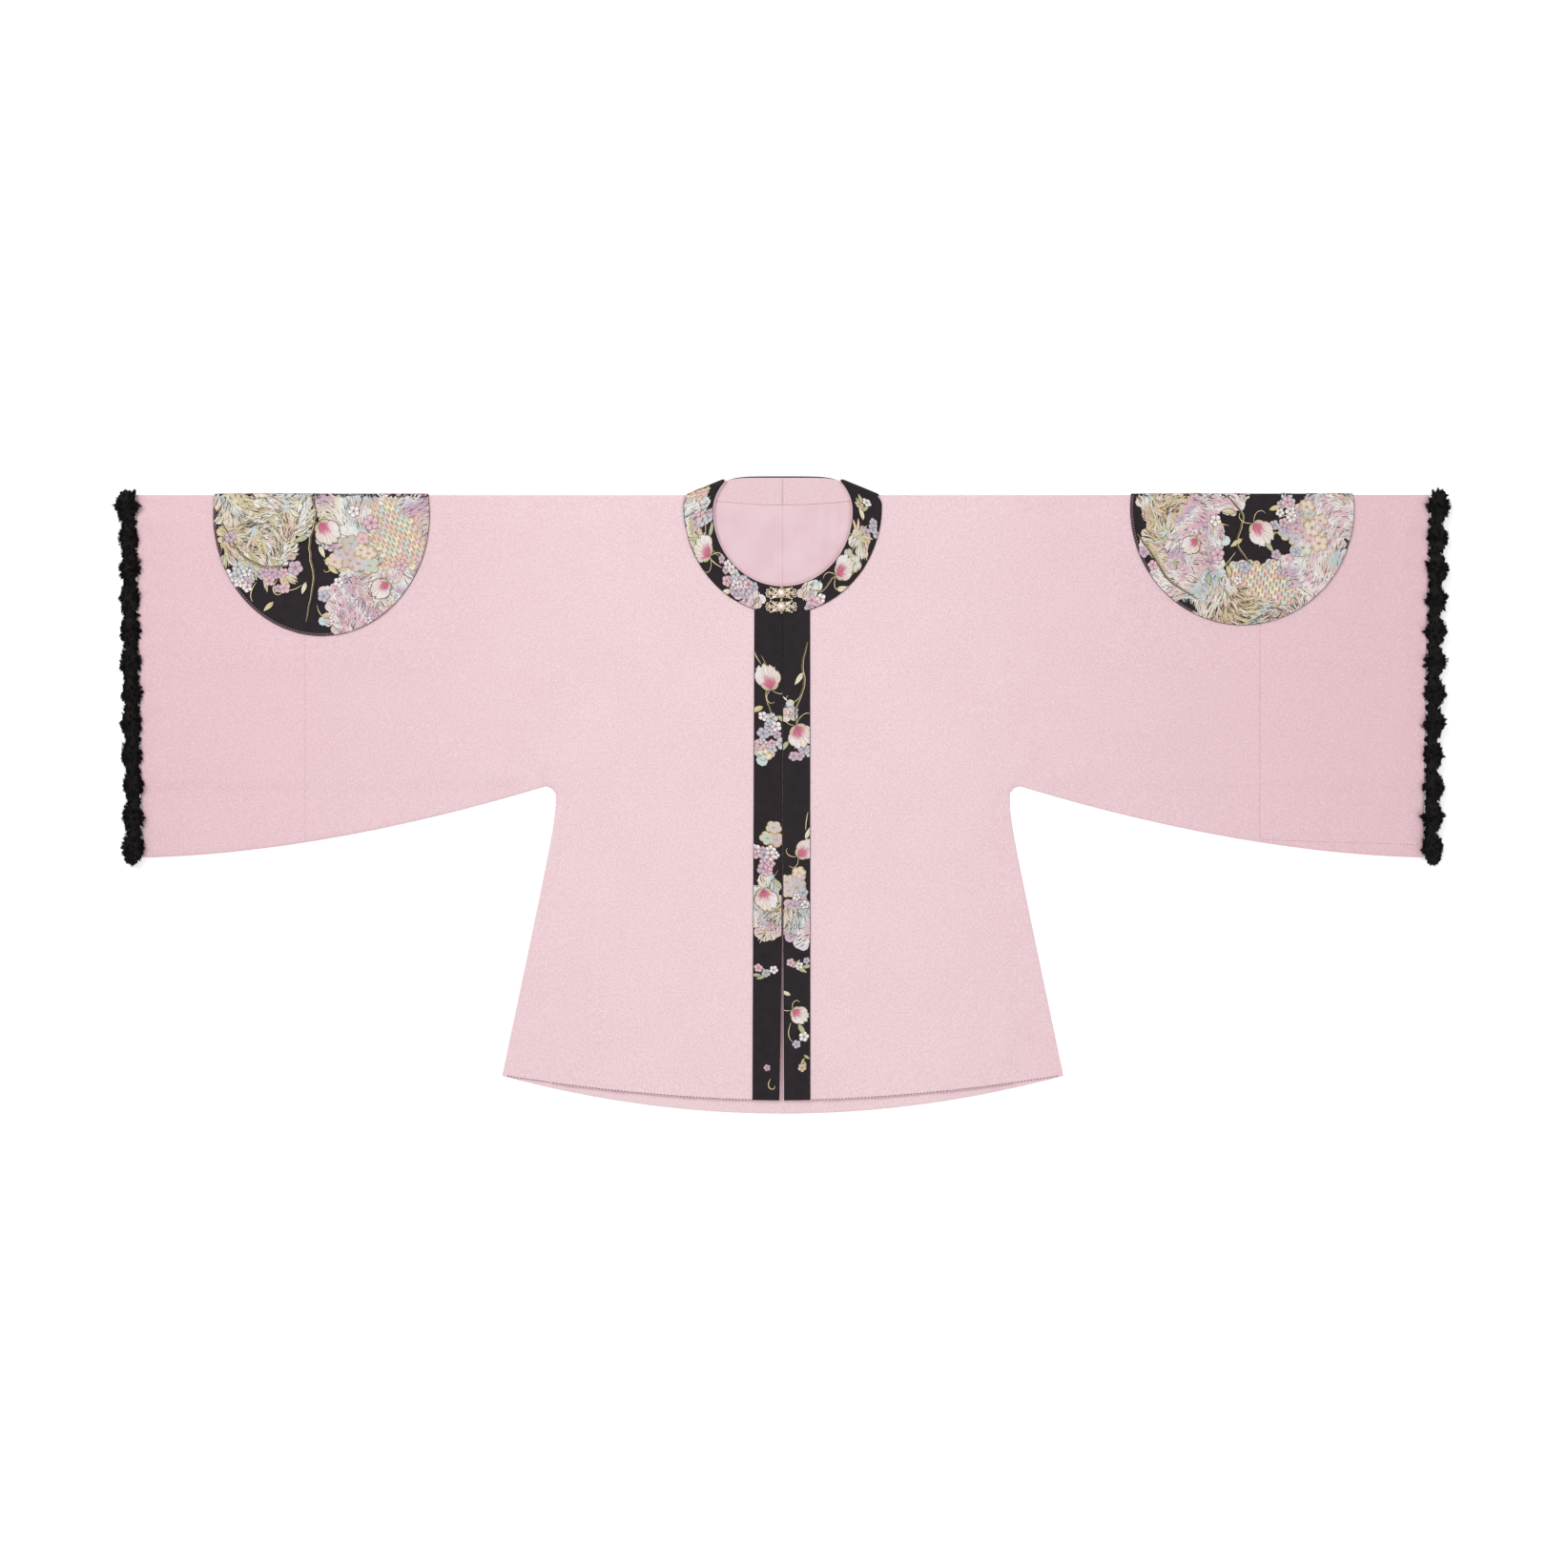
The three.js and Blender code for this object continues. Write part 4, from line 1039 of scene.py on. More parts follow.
def collarPieces(side):
    rows = collarRows(side)
    angle = rows[2]
    toBack = (1 - np.sin(angle)) / 2
    mm = spaced(collar["width"], 2.6)
    w = mm / collar["width"]
    edge = np.minimum(mm, collar["width"] - mm)
    along = runLength(rows[0] * 0.5 + rows[1] * 0.5)
    pull = collar["pull"] * np.sin(along / 7.0)[:, None] * np.exp(-edge / 4.0)[None] * (1 - toBack)[:, None]
    top = collar["bandOuter"] - edgeRound(edge, 1.7, 0.75)[None] - collar["backFlat"] * toBack[:, None] + pull
    end = 1 - np.clip(along / 1.5, 0, 1)
    top = top - 0.6 * (end ** 2)[:, None]
    bottom = collar["bandInner"] + 0 * top
    uv = np.stack(np.broadcast_arrays(mm[None], along[:, None]), -1)
    behind = smooth(toBack * 1.6 - 0.6)[:, None]
    peek = w[None] - collar["peek"] * behind * (1 - w)[None]  # the band shows past the facing behind
    band = shell("collarBand" + side["name"].capitalize(), collarPlaces(rows, peek, top),
                 collarPlaces(rows, peek, bottom), side, uv)
    dress(band, blackBrocade, ["collar_" + side["name"]])

    lip = collar["lip"] / collar["width"]
    low = mix(-lip, 0.02, toBack)[:, None]
    high = mix(1 - collar["underBody"] / collar["width"], 1.0, toBack)[:, None]
    s = spaced(collar["width"], 2.6)[None] / collar["width"]
    wf = low + (high - low) * s
    lipUp = 1.25 * smooth((-wf * collar["width"]) / (0.6 * collar["lip"])) * (1 - toBack[:, None])
    inset = wf * collar["width"] - low * collar["width"]
    outer = collar["facingOuter"] + lipUp - edgeRound(inset, 0.7, 0.3)
    inner = collar["facingInner"] + edgeRound(inset, 1.2, 0.5)
    facing = shell("collarFacing" + side["name"].capitalize(), collarPlaces(rows, wf, outer),
                   collarPlaces(rows, wf, inner), side)
    # the facing wears the darker copy of the wool: painted shade inside the neck
    dress(facing, shadedFacingWool, ["collar_facing_" + side["name"]])
    places = collarPlaces(rows, np.linspace(0, 1, 9)[None],
                          (collar["bandOuter"] - collar["backFlat"] * toBack)[:, None])
    return band, facing, Surface(places, collar["width"], mix(1.0, 0.1, toBack))


lining = {"fromX": 0.05, "width": 94.85, "rows": 112.0, "footY": -122.0, "z": 2.1}
pleats = {  # place across, half width and height of each
    "left": [(34, 2.2, 0.7), (47, 3.0, 0.9), (60, 3.0, 0.8), (72, 2.4, 0.6)],
    "right": [(58, 3.0, 0.5), (70, 2.4, 0.5)],
}


def liningPiece(side):
    x = (lining["fromX"] + spaced(lining["width"], 2.4, last=False))[None]
    s = spaced(lining["rows"], 3.0, last=False)[:, None] / lining["rows"]
    y = mix(backNeckY(x) - 0.1, lining["footY"], s)
    x = x + 0 * y
    wave = sum(h * np.exp(-((x - at - 0.05 * y) / wide) ** 2) for at, wide, h in pleats[side["name"]])
    z = lining["z"] + wave * (1 - smooth((-y - 30) / 60)) * smooth(s * 12)
    toEdge = np.minimum(x - lining["fromX"], backNeckY(x) - 0.1 - y)
    outer = np.stack([x, y, z + cloth["lining"] - edgeRound(toEdge, 1.0, 0.16)], -1)
    inner = np.stack([x, y, z], -1)
    piece = shell("neckLining" + side["name"].capitalize(), outer, inner, side)
    dress(piece, liningSatin, ["lining_" + side["name"]])
    return piece


# front bands and roundels
def frontFace(side, x, y):
    return frontLayer(side, x, y, 0.0)[0][..., 2]


def collarEdgeY(x):
    a = np.arccos(np.clip(x / outerNeck["half"], -1, 1))
    return outerNeck["y"] - outerNeck["below"] * np.sin(a)


bandLength = 541.0


def placketPiece(side):
    width, length = side["bandWidth"], bandLength
    mm = spaced(width, 3.0)
    s = spaced(length, 4.0)[:, None] / length

    def places(across, out):
        inner = side["bandHem"] * s ** 3  # the bands touch at the top and part towards the hem
        x = mix(inner, mix(side["bandTop"], side["bandHem"], s) + width, across[None] / width)
        y = mix(collarEdgeY(x) - cloth["seamGap"], -frontHem(x) + 0.8, s)
        return np.stack([x, y, frontFace(side, x, y) + cloth["seamGap"] + out], -1)
    edge = np.minimum(np.minimum(mm, width - mm)[None], np.minimum(s * length, (1 - s) * length))
    weld = 0.1 * np.sin(s * length / 9.0) * np.exp(-edge / 3.0)
    outer = places(mm, cloth["brocade"] - edgeRound(edge, 1.5, 0.6) + weld)
    uv = np.stack(np.broadcast_arrays(mm[None], s * length), -1)
    piece = shell("frontBand" + side["name"].capitalize(), outer, places(mm, 0.0), side, uv)
    dress(piece, blackBrocade, ["placket_" + side["name"]])
    across = np.linspace(0, width, 9)
    return piece, Surface(places(across, cloth["brocade"]), width, np.ones(len(s)))


def roundelPiece(side):
    r = side["roundel"]
    tall, lean = (r["front"] + r["back"]) / 2, (r["back"] - r["front"]) / 2

    def places(x, plan, out, backOut):  # plan: how far past the shoulder, to the back positive
        x, plan = np.broadcast_arrays(x, plan)
        turnR = shoulderR(x)
        front = np.stack([x, plan, frontFace(side, x, np.minimum(plan, -turnR)) + out], -1)
        back = np.stack([x, -plan, liftAt(x, -plan) - backOut], -1)
        a = np.clip(-plan / turnR, -1, 1) * math.pi / 2
        reach = turnR + mix(backOut, out, (np.sin(a) + 1) / 2)
        over = np.stack([x, -turnR + reach * np.cos(a), liftAt(x, 0 * x) + turnR + reach * np.sin(a)], -1)
        return np.where((plan < -turnR)[..., None], front, np.where((plan > turnR)[..., None], back, over))

    plan = np.concatenate([r["back"] - spaced(r["back"] - foldR, 5.0, last=False),
                           np.linspace(foldR, -foldR, 12)[1:-1],
                           -foldR - spaced(r["front"] - foldR, 5.0, first=False)])[:, None]
    wide = r["half"] * np.sqrt(np.clip(1 - ((plan - lean) / tall) ** 2, 0.0004, 1))
    c = np.sin(np.linspace(-1, 1, 45) * math.pi / 2)[None]
    x = r["x"] + c * wide
    edge = tall * (1 - np.hypot(c * wide / r["half"], (plan - lean) / tall))
    soft = edgeRound(edge, 1.8, 0.6)
    gap, thick = cloth["seamGap"], cloth["brocade"]
    outer = places(x, plan, gap + thick - soft, gap + thick - collar["backFlat"] - soft)
    uv = np.stack(np.broadcast_arrays(x - r["x"], plan), -1)
    piece = shell("roundelCloth" + side["name"].capitalize(), outer, places(x, plan, gap, gap), side, uv)
    dress(piece, blackBrocade, ["roundel_" + side["name"]])
    rows = np.concatenate([np.linspace(r["back"], foldR, 40), np.linspace(foldR, -foldR, 12)[1:-1],
                           np.linspace(-foldR, -r["front"], 52)])
    across = r["x"] + np.linspace(-r["half"], r["half"], 80)
    grid = places(across[None], rows[:, None], gap + thick, gap + thick - collar["backFlat"])
    relief = mix(1.0, 0.1, smooth((rows + 1.5) / 3.0))
    return piece, Surface(grid, 2 * r["half"], relief, -1, r["back"] - rows, oval=True)


collarBands, collarFacings, linings, frontBands, roundels, patterned = {}, {}, {}, {}, {}, {}
for side in sides:
    key = side["name"]
    collarBands[key], collarFacings[key], patterned["collar", key] = collarPieces(side)
    linings[key] = liningPiece(side)
    frontBands[key], patterned["band", key] = placketPiece(side)
    roundels[key], patterned["roundel", key] = roundelPiece(side)
print("collar, lining, front bands and roundels made")


# light, floor and camera
stage = {
    "floor": rgb(250, 250, 250), "size": 14.0, "below": 0.0002, "glow": 0.35, "sky": 0.55,
    "lens": 100.0, "sensor": 36.0,
    "camera": (0.0014, 0.01265, 4.795),
    "panels": [  # place, size and watts
        ("keyPanel", (-1.9, 2.3, 3.2), 2.4, 92),
        ("fillPanel", (2.2, -1.6, 3.4), 3.0, 50),
    ],
}


def floorAndLight():
    bpy.ops.object.select_all(action="DESELECT")
    bpy.ops.mesh.primitive_plane_add(size=stage["size"], location=(0, 0, -stage["below"]))
    floor = bpy.context.object
    floor.name = "paleFloor"
    lit = (1, 1, 1, 1)  # a lit table, so the shadows stay faint
    paper = newMaterial("palePaper", {
        "Base Color": (*stage["floor"], 1), "Roughness": 0.9, "Specular IOR Level": 0.1,
        "Emission Color": lit, "Emission Strength": stage["glow"],
    })[0]
    floor.data.materials.append(paper)
    bpy.ops.object.transform_apply(location=True, rotation=True, scale=True)
    world = bpy.data.worlds.new("studio")
    bpy.context.scene.world = world
    world.use_nodes = True
    sky = world.node_tree.nodes["Background"]
    sky.inputs["Color"].default_value = (1, 1, 1, 1)
    sky.inputs["Strength"].default_value = stage["sky"]
    for name, place, size, power in stage["panels"]:
        lamp = bpy.data.lights.new(name, "AREA")
        lamp.shape = "SQUARE"
        lamp.size = size
        lamp.energy = power
        light = bpy.data.objects.new(name, lamp)
        bpy.context.scene.collection.objects.link(light)
        light.location = place
        x, y, z = place  # each panel looks at the middle of the floor
        light.rotation_euler = (math.atan2(math.hypot(x, y), z), 0, math.atan2(-y, -x) - math.pi / 2)
    camera = bpy.data.cameras.new("overhead")
    camera.lens, camera.sensor_width = stage["lens"], stage["sensor"]
    camera.clip_end = 60
    eye = bpy.data.objects.new("overhead", camera)
    eye.location = stage["camera"]
    bpy.context.scene.collection.objects.link(eye)
    bpy.context.scene.camera = eye
    bpy.context.scene.view_settings.view_transform = "Standard"


floorAndLight()
print("floor, lights and camera set")


# woven flowers
def blob(pattern, cu, cv, ru, rv, tilt=0.0, ragged=0.16):  # a patch with a ragged edge, in millimetres
    phase = pattern.rng.uniform(0, 6.28, 3)
    c, s = math.cos(tilt), math.sin(tilt)

    def inside(u, v):
        x, y = ((u - cu) * c + (v - cv) * s) / ru, (-(u - cu) * s + (v - cv) * c) / rv
        a = math.atan2(y, x)
        waves = (math.sin(3 * a + phase[0]) + 0.6 * math.sin(7 * a + phase[1])
                 + 0.4 * math.sin(13 * a + phase[2]))
        return math.hypot(x, y) < 1 + ragged * waves
    return inside


def scatter(pattern, inside, step, put):  # puts a motif at jittered places, far to near
    rng = pattern.rng
    for v in np.arange(-step * 0.5, pattern.surface.length + step, step):
        for u in np.arange(-step * 0.5, pattern.surface.width + step, step):
            at = (u + rng.uniform(-0.4, 0.4) * step, v + rng.uniform(-0.4, 0.4) * step)
            if inside(*at):
                put(at)


def pick(pattern, names):
    return names[int(pattern.rng.integers(len(names)))]


patchLook = {  # the colours in the order that they pass into each other, the share and colours of the accents
    "flow": {
        "tones": ("cream", "blush", "paleGold", "cream", "ice", "skin", "white"),
        "accent": ("olive", "bronze", "gold", "black", "gold", "bronze", "white"),
        "zone": 15.0, "long": 10.0, "wide": 1.0, "size": (3.4, 5.4), "share": 0.46,
    },
    "soft": {
        "tones": ("pink", "white", "blush", "ice", "white", "cream", "pink", "lilac", "white"),
        "accent": ("gold", "white", "mauve", "olive", "rose", "white", "black", "aqua", "bronze"),
        "zone": 13.0, "long": 7.0, "wide": 0.8, "size": (3.8, 6.0), "share": 0.36,
    },
}


def zoneTone(look, at, phase):  # one colour passes softly into the next over the patch
    tones = look["tones"]
    place = (at[0] / look["zone"] + 1.1 * math.sin(at[1] / look["zone"] + phase[0])
             + 0.7 * math.sin((at[0] + at[1]) / 8 + phase[1]))
    place = (place + phase[2]) % len(tones)
    a, b = silk[tones[int(place)]], silk[tones[(int(place) + 1) % len(tones)]]
    return np.array(a) + (np.array(b) - np.array(a)) * (place % 1)


def strokes(pattern, inside, look, angle, phase):  # short silk stitches that follow a slow swirl
    rng = pattern.rng

    def stitch(at):
        turn = angle + 1.1 * math.sin(at[0] / 19 + phase[0]) + 0.9 * math.cos(at[1] / 23 + phase[1])
        turn += rng.normal(0, 0.22)
        s = np.linspace(-0.5, 0.5, 4) * look["long"] * rng.uniform(0.6, 1.2)
        bend = rng.uniform(-0.05, 0.05)
        x = at[0] + np.cos(turn) * s - np.sin(turn) * bend * s * s
        y = at[1] + np.sin(turn) * s + np.cos(turn) * bend * s * s
        name = pick(pattern, look["accent"]) if rng.random() < look["share"] else ""
        metal = 0.7 if name in ("gold", "bronze") else 0.0
        tone = name or zoneTone(look, at, phase) * rng.uniform(0.76, 1.2)
        pattern.thread(np.stack([x, y], 1), look["wide"] * rng.uniform(0.6, 1.3), tone, metal, True, 0.16)
    pattern.rise = weaving["closeRise"]  # stitches of one patch lie side by side
    scatter(pattern, inside, 2.5, stitch)
    pattern.rise = weaving["rise"]


def fillPatch(pattern, kind, inside, angle):
    rng = pattern.rng
    look = patchLook["flow" if kind in ("flow", "plumes") else "soft"]
    tones = ("cream", "ice", "blush", "pink", "skin")
    phase = rng.uniform(0, 6.28, 3)

    def ground(at):
        size = rng.uniform(*look["size"])
        tone = zoneTone(look, at, phase)
        pattern.disc(at, size, (tone, tone), 8, 0.05)

    def cloud(at):
        size = rng.uniform(8, 12)
        outer = pick(pattern, tones)
        pattern.cloud(at, size, outer, pick(pattern, ("pink", "lilac", "aqua", "cream")))

    def plume(at):
        turn = angle + rng.uniform(-0.7, 0.7)
        pattern.plumes(at, turn, rng.uniform(16, 24), 7)

    def curl(at):
        turn, length = rng.uniform(0, 6.28), rng.uniform(12, 22)
        tint = pick(pattern, ("gold", "olive", "white"))
        pattern.tendril(at, turn, length, tint, rng.uniform(-6, 6), 1.0)

    def flowerOf(low, high, tints):
        return lambda at: pattern.blossom(at, rng.uniform(low, high), pick(pattern, tints))

    if kind not in ("clouds", "blossoms"):
        scatter(pattern, inside, 4.6, ground)
    if kind in ("flow", "soft", "plumes", "mist"):
        strokes(pattern, inside, look, angle, phase)
    if kind == "scales":
        pattern.scales(inside, 7.2, tones, "olive", angle)
    if kind == "clouds":
        scatter(pattern, inside, 12, cloud)
    if kind == "plumes":
        scatter(pattern, inside, 17, plume)
    if kind == "mist":
        scatter(pattern, inside, 15, curl)
        scatter(pattern, inside, 13, flowerOf(3, 5, ("pink", "white", "lilac")))
    if kind == "blossoms":
        scatter(pattern, inside, 8.5, flowerOf(4.5, 7.5, ("blue", "lilac", "white", "pink", "ice")))


roundelDesign = {  # kind, across and down from the shoulder in shares of the front half, radii, tilt
    "right": {
        "patches": [
            ("soft", -0.52, 0.30, 0.52, 0.56, 0.4), ("scales", -0.70, 0.30, 0.20, 0.24, 0.5),
            ("mist", -0.36, 0.80, 0.36, 0.20, 0.1), ("flow", 0.52, 0.14, 0.38, 0.36, 1.1),
            ("plumes", 0.62, 0.36, 0.28, 0.22, 2.0), ("flow", 0.30, -0.10, 0.30, 0.20, 0.3),
            ("blossoms", 0.76, 0.58, 0.14, 0.09, 0.9), ("clouds", -0.30, 0.42, 0.20, 0.13, 0.2),
            ("soft", 0.55, -0.42, 0.34, 0.24, 0.2), ("flow", -0.45, -0.42, 0.44, 0.22, 0.3),
            ("blossoms", 0.44, 0.58, 0.12, 0.08, 0.5),
        ],
        "buds": [(0.02, 0.20, 2.3, 30), (-0.05, -0.30, -1.2, 26), (-0.62, 0.62, 0.7, 24)],
        "blossoms": [
            (0.24, 0.52, 9, "lilac"), (0.34, 0.66, 7, "pink"), (-0.02, 0.72, 7, "blue"),
            (-0.74, 0.50, 7, "pink"), (0.84, 0.30, 7, "lilac"), (-0.16, 0.62, 6, "white"),
            (-0.46, 0.20, 9, "pink"), (-0.30, 0.12, 7, "white"),
        ],
        "leaves": [
            (0.12, 0.30, 0.2, 17), (0.02, 0.36, 2.0, 15), (0.20, 0.16, -0.6, 15), (0.14, 0.62, 1.2, 14),
            (0.44, 0.76, 0.7, 15), (-0.06, 0.50, 2.4, 15),
        ],
        "branches": [
            [(0.10, 0.00), (0.04, 0.14), (0.12, 0.36), (0.06, 0.60), (0.14, 0.90)],
            [(0.92, 0.20), (0.74, 0.44), (0.52, 0.52), (0.30, 0.50)],
        ],
        "tendrils": [
            (0.18, 0.64, 0.6, 34), (0.04, 0.78, 1.8, 30), (0.40, 0.60, 0.9, 30), (-0.02, 0.46, 2.6, 24),
            (0.60, 0.62, 1.0, 24), (-0.84, 0.42, 1.6, 24), (0.84, 0.12, 1.3, 22),
        ],
    },
    "left": {
        "patches": [
            ("flow", 0.12, 0.84, 0.66, 0.20, 0.0), ("scales", 0.26, 0.66, 0.34, 0.14, 0.15),
            ("mist", 0.62, 0.56, 0.26, 0.24, 0.4), ("plumes", -0.66, 0.14, 0.26, 0.34, 1.2),
            ("soft", -0.52, 0.56, 0.28, 0.28, 0.3), ("soft", 0.74, 0.14, 0.26, 0.34, 0.3),
            ("soft", 0.72, 0.50, 0.24, 0.24, 0.3), ("soft", -0.40, 0.30, 0.22, 0.26, 0.2),
            ("clouds", 0.60, 0.26, 0.20, 0.14, 0.3), ("soft", -0.20, -0.05, 0.22, 0.20, 0.4),
            ("mist", -0.34, 0.40, 0.16, 0.16, 0.0), ("blossoms", 0.40, 0.16, 0.12, 0.14, 0.0),
            ("soft", -0.30, -0.45, 0.56, 0.26, 0.0), ("clouds", -0.30, -0.45, 0.34, 0.20, 0.1),
            ("flow", 0.50, -0.42, 0.34, 0.24, 0.3),
        ],
        "buds": [(0.10, 0.22, 0.9, 30), (0.20, -0.20, -2.0, 26), (-0.40, 0.34, 2.4, 22)],
        "blossoms": [
            (-0.22, 0.46, 8, "pink"), (0.30, 0.46, 6, "lilac"), (-0.88, 0.44, 7, "lilac"),
            (-0.80, 0.54, 6, "pink"), (0.02, 0.56, 7, "blue"), (-0.24, 0.20, 7, "white"),
            (0.40, 0.06, 7, "pink"), (-0.04, 0.66, 5, "white"), (0.48, 0.44, 6, "blue"),
        ],
        "leaves": [
            (0.00, 0.34, 2.6, 16), (0.20, 0.36, 0.8, 15), (0.24, 0.12, -0.4, 15), (-0.06, 0.14, 3.4, 16),
            (-0.30, 0.60, 1.6, 14), (-0.14, 0.54, 1.2, 14),
        ],
        "branches": [
            [(-0.14, 0.00), (0.02, 0.16), (-0.06, 0.38), (0.08, 0.54)],
            [(-0.94, 0.30), (-0.80, 0.46), (-0.66, 0.66), (-0.40, 0.80)],
        ],
        "tendrils": [
            (0.22, 0.28, 0.2, 28), (-0.06, 0.44, 2.2, 26), (-0.30, 0.66, 1.0, 26), (0.32, 0.18, 5.9, 24),
            (-0.12, 0.24, 3.4, 22), (0.52, 0.04, 1.2, 20),
        ],
    },
}


def addMotif(pattern, kind, at, *rest):
    if kind == "leaf":
        pattern.leaf(at, *rest, pick(pattern, ("sage", "cream", "paleGold")))
    elif kind == "tendril":
        pattern.tendril(at, *rest, curl=pattern.rng.uniform(-5, 5), width=1.0)
    elif kind == "blossom":
        pattern.blossom(at, *rest)
    elif kind == "sprig":
        pattern.sprig(at, *rest)
    else:
        pattern.bud(at, *rest)


def weaveRoundel(side, seed):
    surface = patterned["roundel", side["name"]]
    design = roundelDesign[side["name"]]
    pattern = Pattern(surface, seed)
    r = side["roundel"]

    def at(fx, fy):
        return surface.width / 2 * (1 + fx), r["back"] + fy * r["front"]
    for kind, fx, fy, ru, rv, turn in design["patches"]:
        cu, cv = at(fx, fy)
        tilt = 0.0 if kind == "plumes" else turn
        inside = blob(pattern, cu, cv, ru * surface.width / 2, rv * r["front"], tilt)
        fillPatch(pattern, kind, inside, turn)
    for line in design["branches"]:
        pattern.branch([at(*p) for p in line], 3.0)
    for kind, name in (("leaf", "leaves"), ("tendril", "tendrils"), ("blossom", "blossoms"), ("bud", "buds")):
        for fx, fy, *rest in design[name]:
            addMotif(pattern, kind, at(fx, fy), *rest)
    return pattern.build("roundelFlowers" + side["name"].capitalize(), side["sign"] < 0)


bandDesign = {  # down the front bands: across and down in millimetres, then radii, or direction and size
    "right": [
        ("soft", 15, 322, 16, 32), ("branch", [(22, 48), (12, 66), (18, 92), (8, 118)], 2.4),
        ("bud", 12, 84, -1.3, 29), ("blossoms", 14, 132, 12, 20), ("scales", 20, 152, 8, 10),
        ("leaf", 20, 104, 0.5, 15), ("leaf", 6, 112, 2.6, 14), ("tendril", 22, 58, -0.9, 22),
        ("clouds", 9, 246, 10, 12), ("blossoms", 17, 268, 12, 14), ("bud", 20, 304, 1.9, 26),
        ("plumes", 8, 326, 8, 14), ("leaf", 10, 292, 2.4, 16), ("mist", 14, 346, 12, 14),
        ("branch", [(4, 282), (14, 300), (10, 330), (20, 360)], 2.2), ("blossom", 8, 392, 5, "white"),
        ("blossom", 16, 396, 5, "blue"), ("blossom", 24, 391, 5, "pink"), ("sprig", 12, 398, 0.1, 18),
        ("tendril", 10, 512, 1.1, 20), ("blossom", 14, 500, 4, "lilac"),
    ],
    "left": [
        ("soft", 15, 338, 16, 26), ("branch", [(26, 34), (20, 58), (24, 80), (12, 108), (16, 128)], 3.0),
        ("leaf", 22, 66, 2.2, 16), ("bud", 14, 124, 1.2, 28), ("blossoms", 18, 152, 12, 10),
        ("leaf", 6, 140, 2.2, 15), ("tendril", 20, 90, 2.2, 26), ("mist", 8, 108, 7, 9),
        ("leaf", 24, 250, -1.2, 14), ("bud", 16, 268, -0.7, 24), ("clouds", 10, 300, 10, 14),
        ("blossoms", 20, 316, 9, 12), ("plumes", 12, 336, 12, 12), ("tendril", 24, 240, -1.5, 20),
        ("blossom", 8, 384, 5, "pink"), ("blossom", 17, 388, 5, "white"), ("blossom", 25, 383, 4, "blue"),
        ("sprig", 10, 390, 0.0, 20), ("bud", 10, 436, 0.7, 21), ("leaf", 16, 452, 1.0, 15),
        ("blossom", 22, 466, 6, "white"), ("blossom", 14, 474, 5, "blue"), ("tendril", 8, 450, 1.9, 24),
        ("blossom", 20, 500, 5, "paleGold"), ("sprig", 22, 486, 1.5, 14), ("leaf", 8, 420, 3.6, 12),
    ],
}
collarDesign = {  # the same, across from the neck edge and round from the centre front
    "right": [
        ("soft", 22, 34, 10, 14), ("blossoms", 10, 40, 8, 10), ("leaf", 16, 24, 0.4, 10),
        ("blossoms", 12, 62, 13, 20), ("leaf", 24, 56, 0.8, 15), ("bud", 16, 96, 1.3, 27),
        ("plumes", 22, 120, 10, 14), ("leaf", 8, 112, 2.2, 15), ("mist", 20, 148, 12, 16),
        ("blossoms", 10, 140, 9, 12), ("scales", 22, 172, 9, 14),
        ("branch", [(6, 84), (14, 108), (8, 132), (16, 160)], 2.4), ("tendril", 12, 76, 1.2, 26),
        ("mist", 16, 226, 12, 16), ("bud", 14, 206, 1.5, 22),
    ],
    "left": [
        ("soft", 10, 32, 9, 12), ("blossoms", 22, 34, 9, 12), ("leaf", 16, 22, 2.6, 10),
        ("branch", [(8, 30), (18, 44), (10, 62), (20, 84)], 2.6), ("bud", 12, 66, 1.5, 27),
        ("leaf", 24, 60, 0.9, 16), ("clouds", 18, 92, 12, 12), ("plumes", 14, 112, 12, 12),
        ("blossoms", 22, 132, 9, 12), ("tendril", 8, 100, 1.9, 24), ("leaf", 12, 136, 1.8, 15),
        ("blossom", 8, 152, 5, "paleGold"), ("sprig", 10, 146, 1.6, 18), ("blossom", 16, 158, 5, "white"),
        ("bud", 16, 214, 1.5, 22), ("mist", 14, 236, 12, 12),
    ],
}


patchKinds = ("clouds", "scales", "mist", "plumes", "soft", "flow", "blossoms")
weaveOrder = {"branch": 1, "tendril": 1, "leaf": 2, "sprig": 2, "blossoms": 3, "blossom": 4, "bud": 4}


def weaveBand(kind, side, design, seed):
    pattern = Pattern(patterned[kind, side["name"]], seed)
    for what, *rest in sorted(design, key=lambda row: weaveOrder.get(row[0], 0)):
        if what in patchKinds:
            fillPatch(pattern, what, blob(pattern, *rest), 1.2)
        elif what == "branch":
            pattern.branch(*rest)
        else:
            addMotif(pattern, what, tuple(rest[:2]), *rest[2:])
    return pattern.build(kind + "Flowers" + side["name"].capitalize(), side["sign"] < 0)


for n, side in enumerate(sides):
    key = side["name"]
    weaveRoundel(side, 20 + n)
    weaveBand("band", side, bandDesign[key], 40 + n)
    weaveBand("collar", side, collarDesign[key], 60 + n)
print("flowers woven")


# fur cuffs
fur = {
    "puffs": 12, "top": 3.7, "bottom": -406.0, "overlap": 4.8, "lowest": 0.3,
    "front": (11.6, 5.0), "waist": (10.6, 3.4), "back": (3.4, 3.3),  # height and half thickness
    "hairs": 2650, "tufts": 110, "rootWidth": 0.72,
    "hairShare": {1: 1.0, 2: 0.35, 0: 0.5, -1: 0.3},  # by layer
    "pelt": (0.68, 0.96, 0.7), "voxel": 0.0014,
}


def addBall(place, size):
    bpy.ops.object.select_all(action="DESELECT")
    bpy.ops.mesh.primitive_uv_sphere_add(segments=18, ring_count=12, radius=1)
    ball = bpy.context.object
    ball.location = toRow(place)
    ball.scale = [v / 1000 for v in size]
    bpy.ops.object.transform_apply(location=True, rotation=True, scale=True)
    return ball


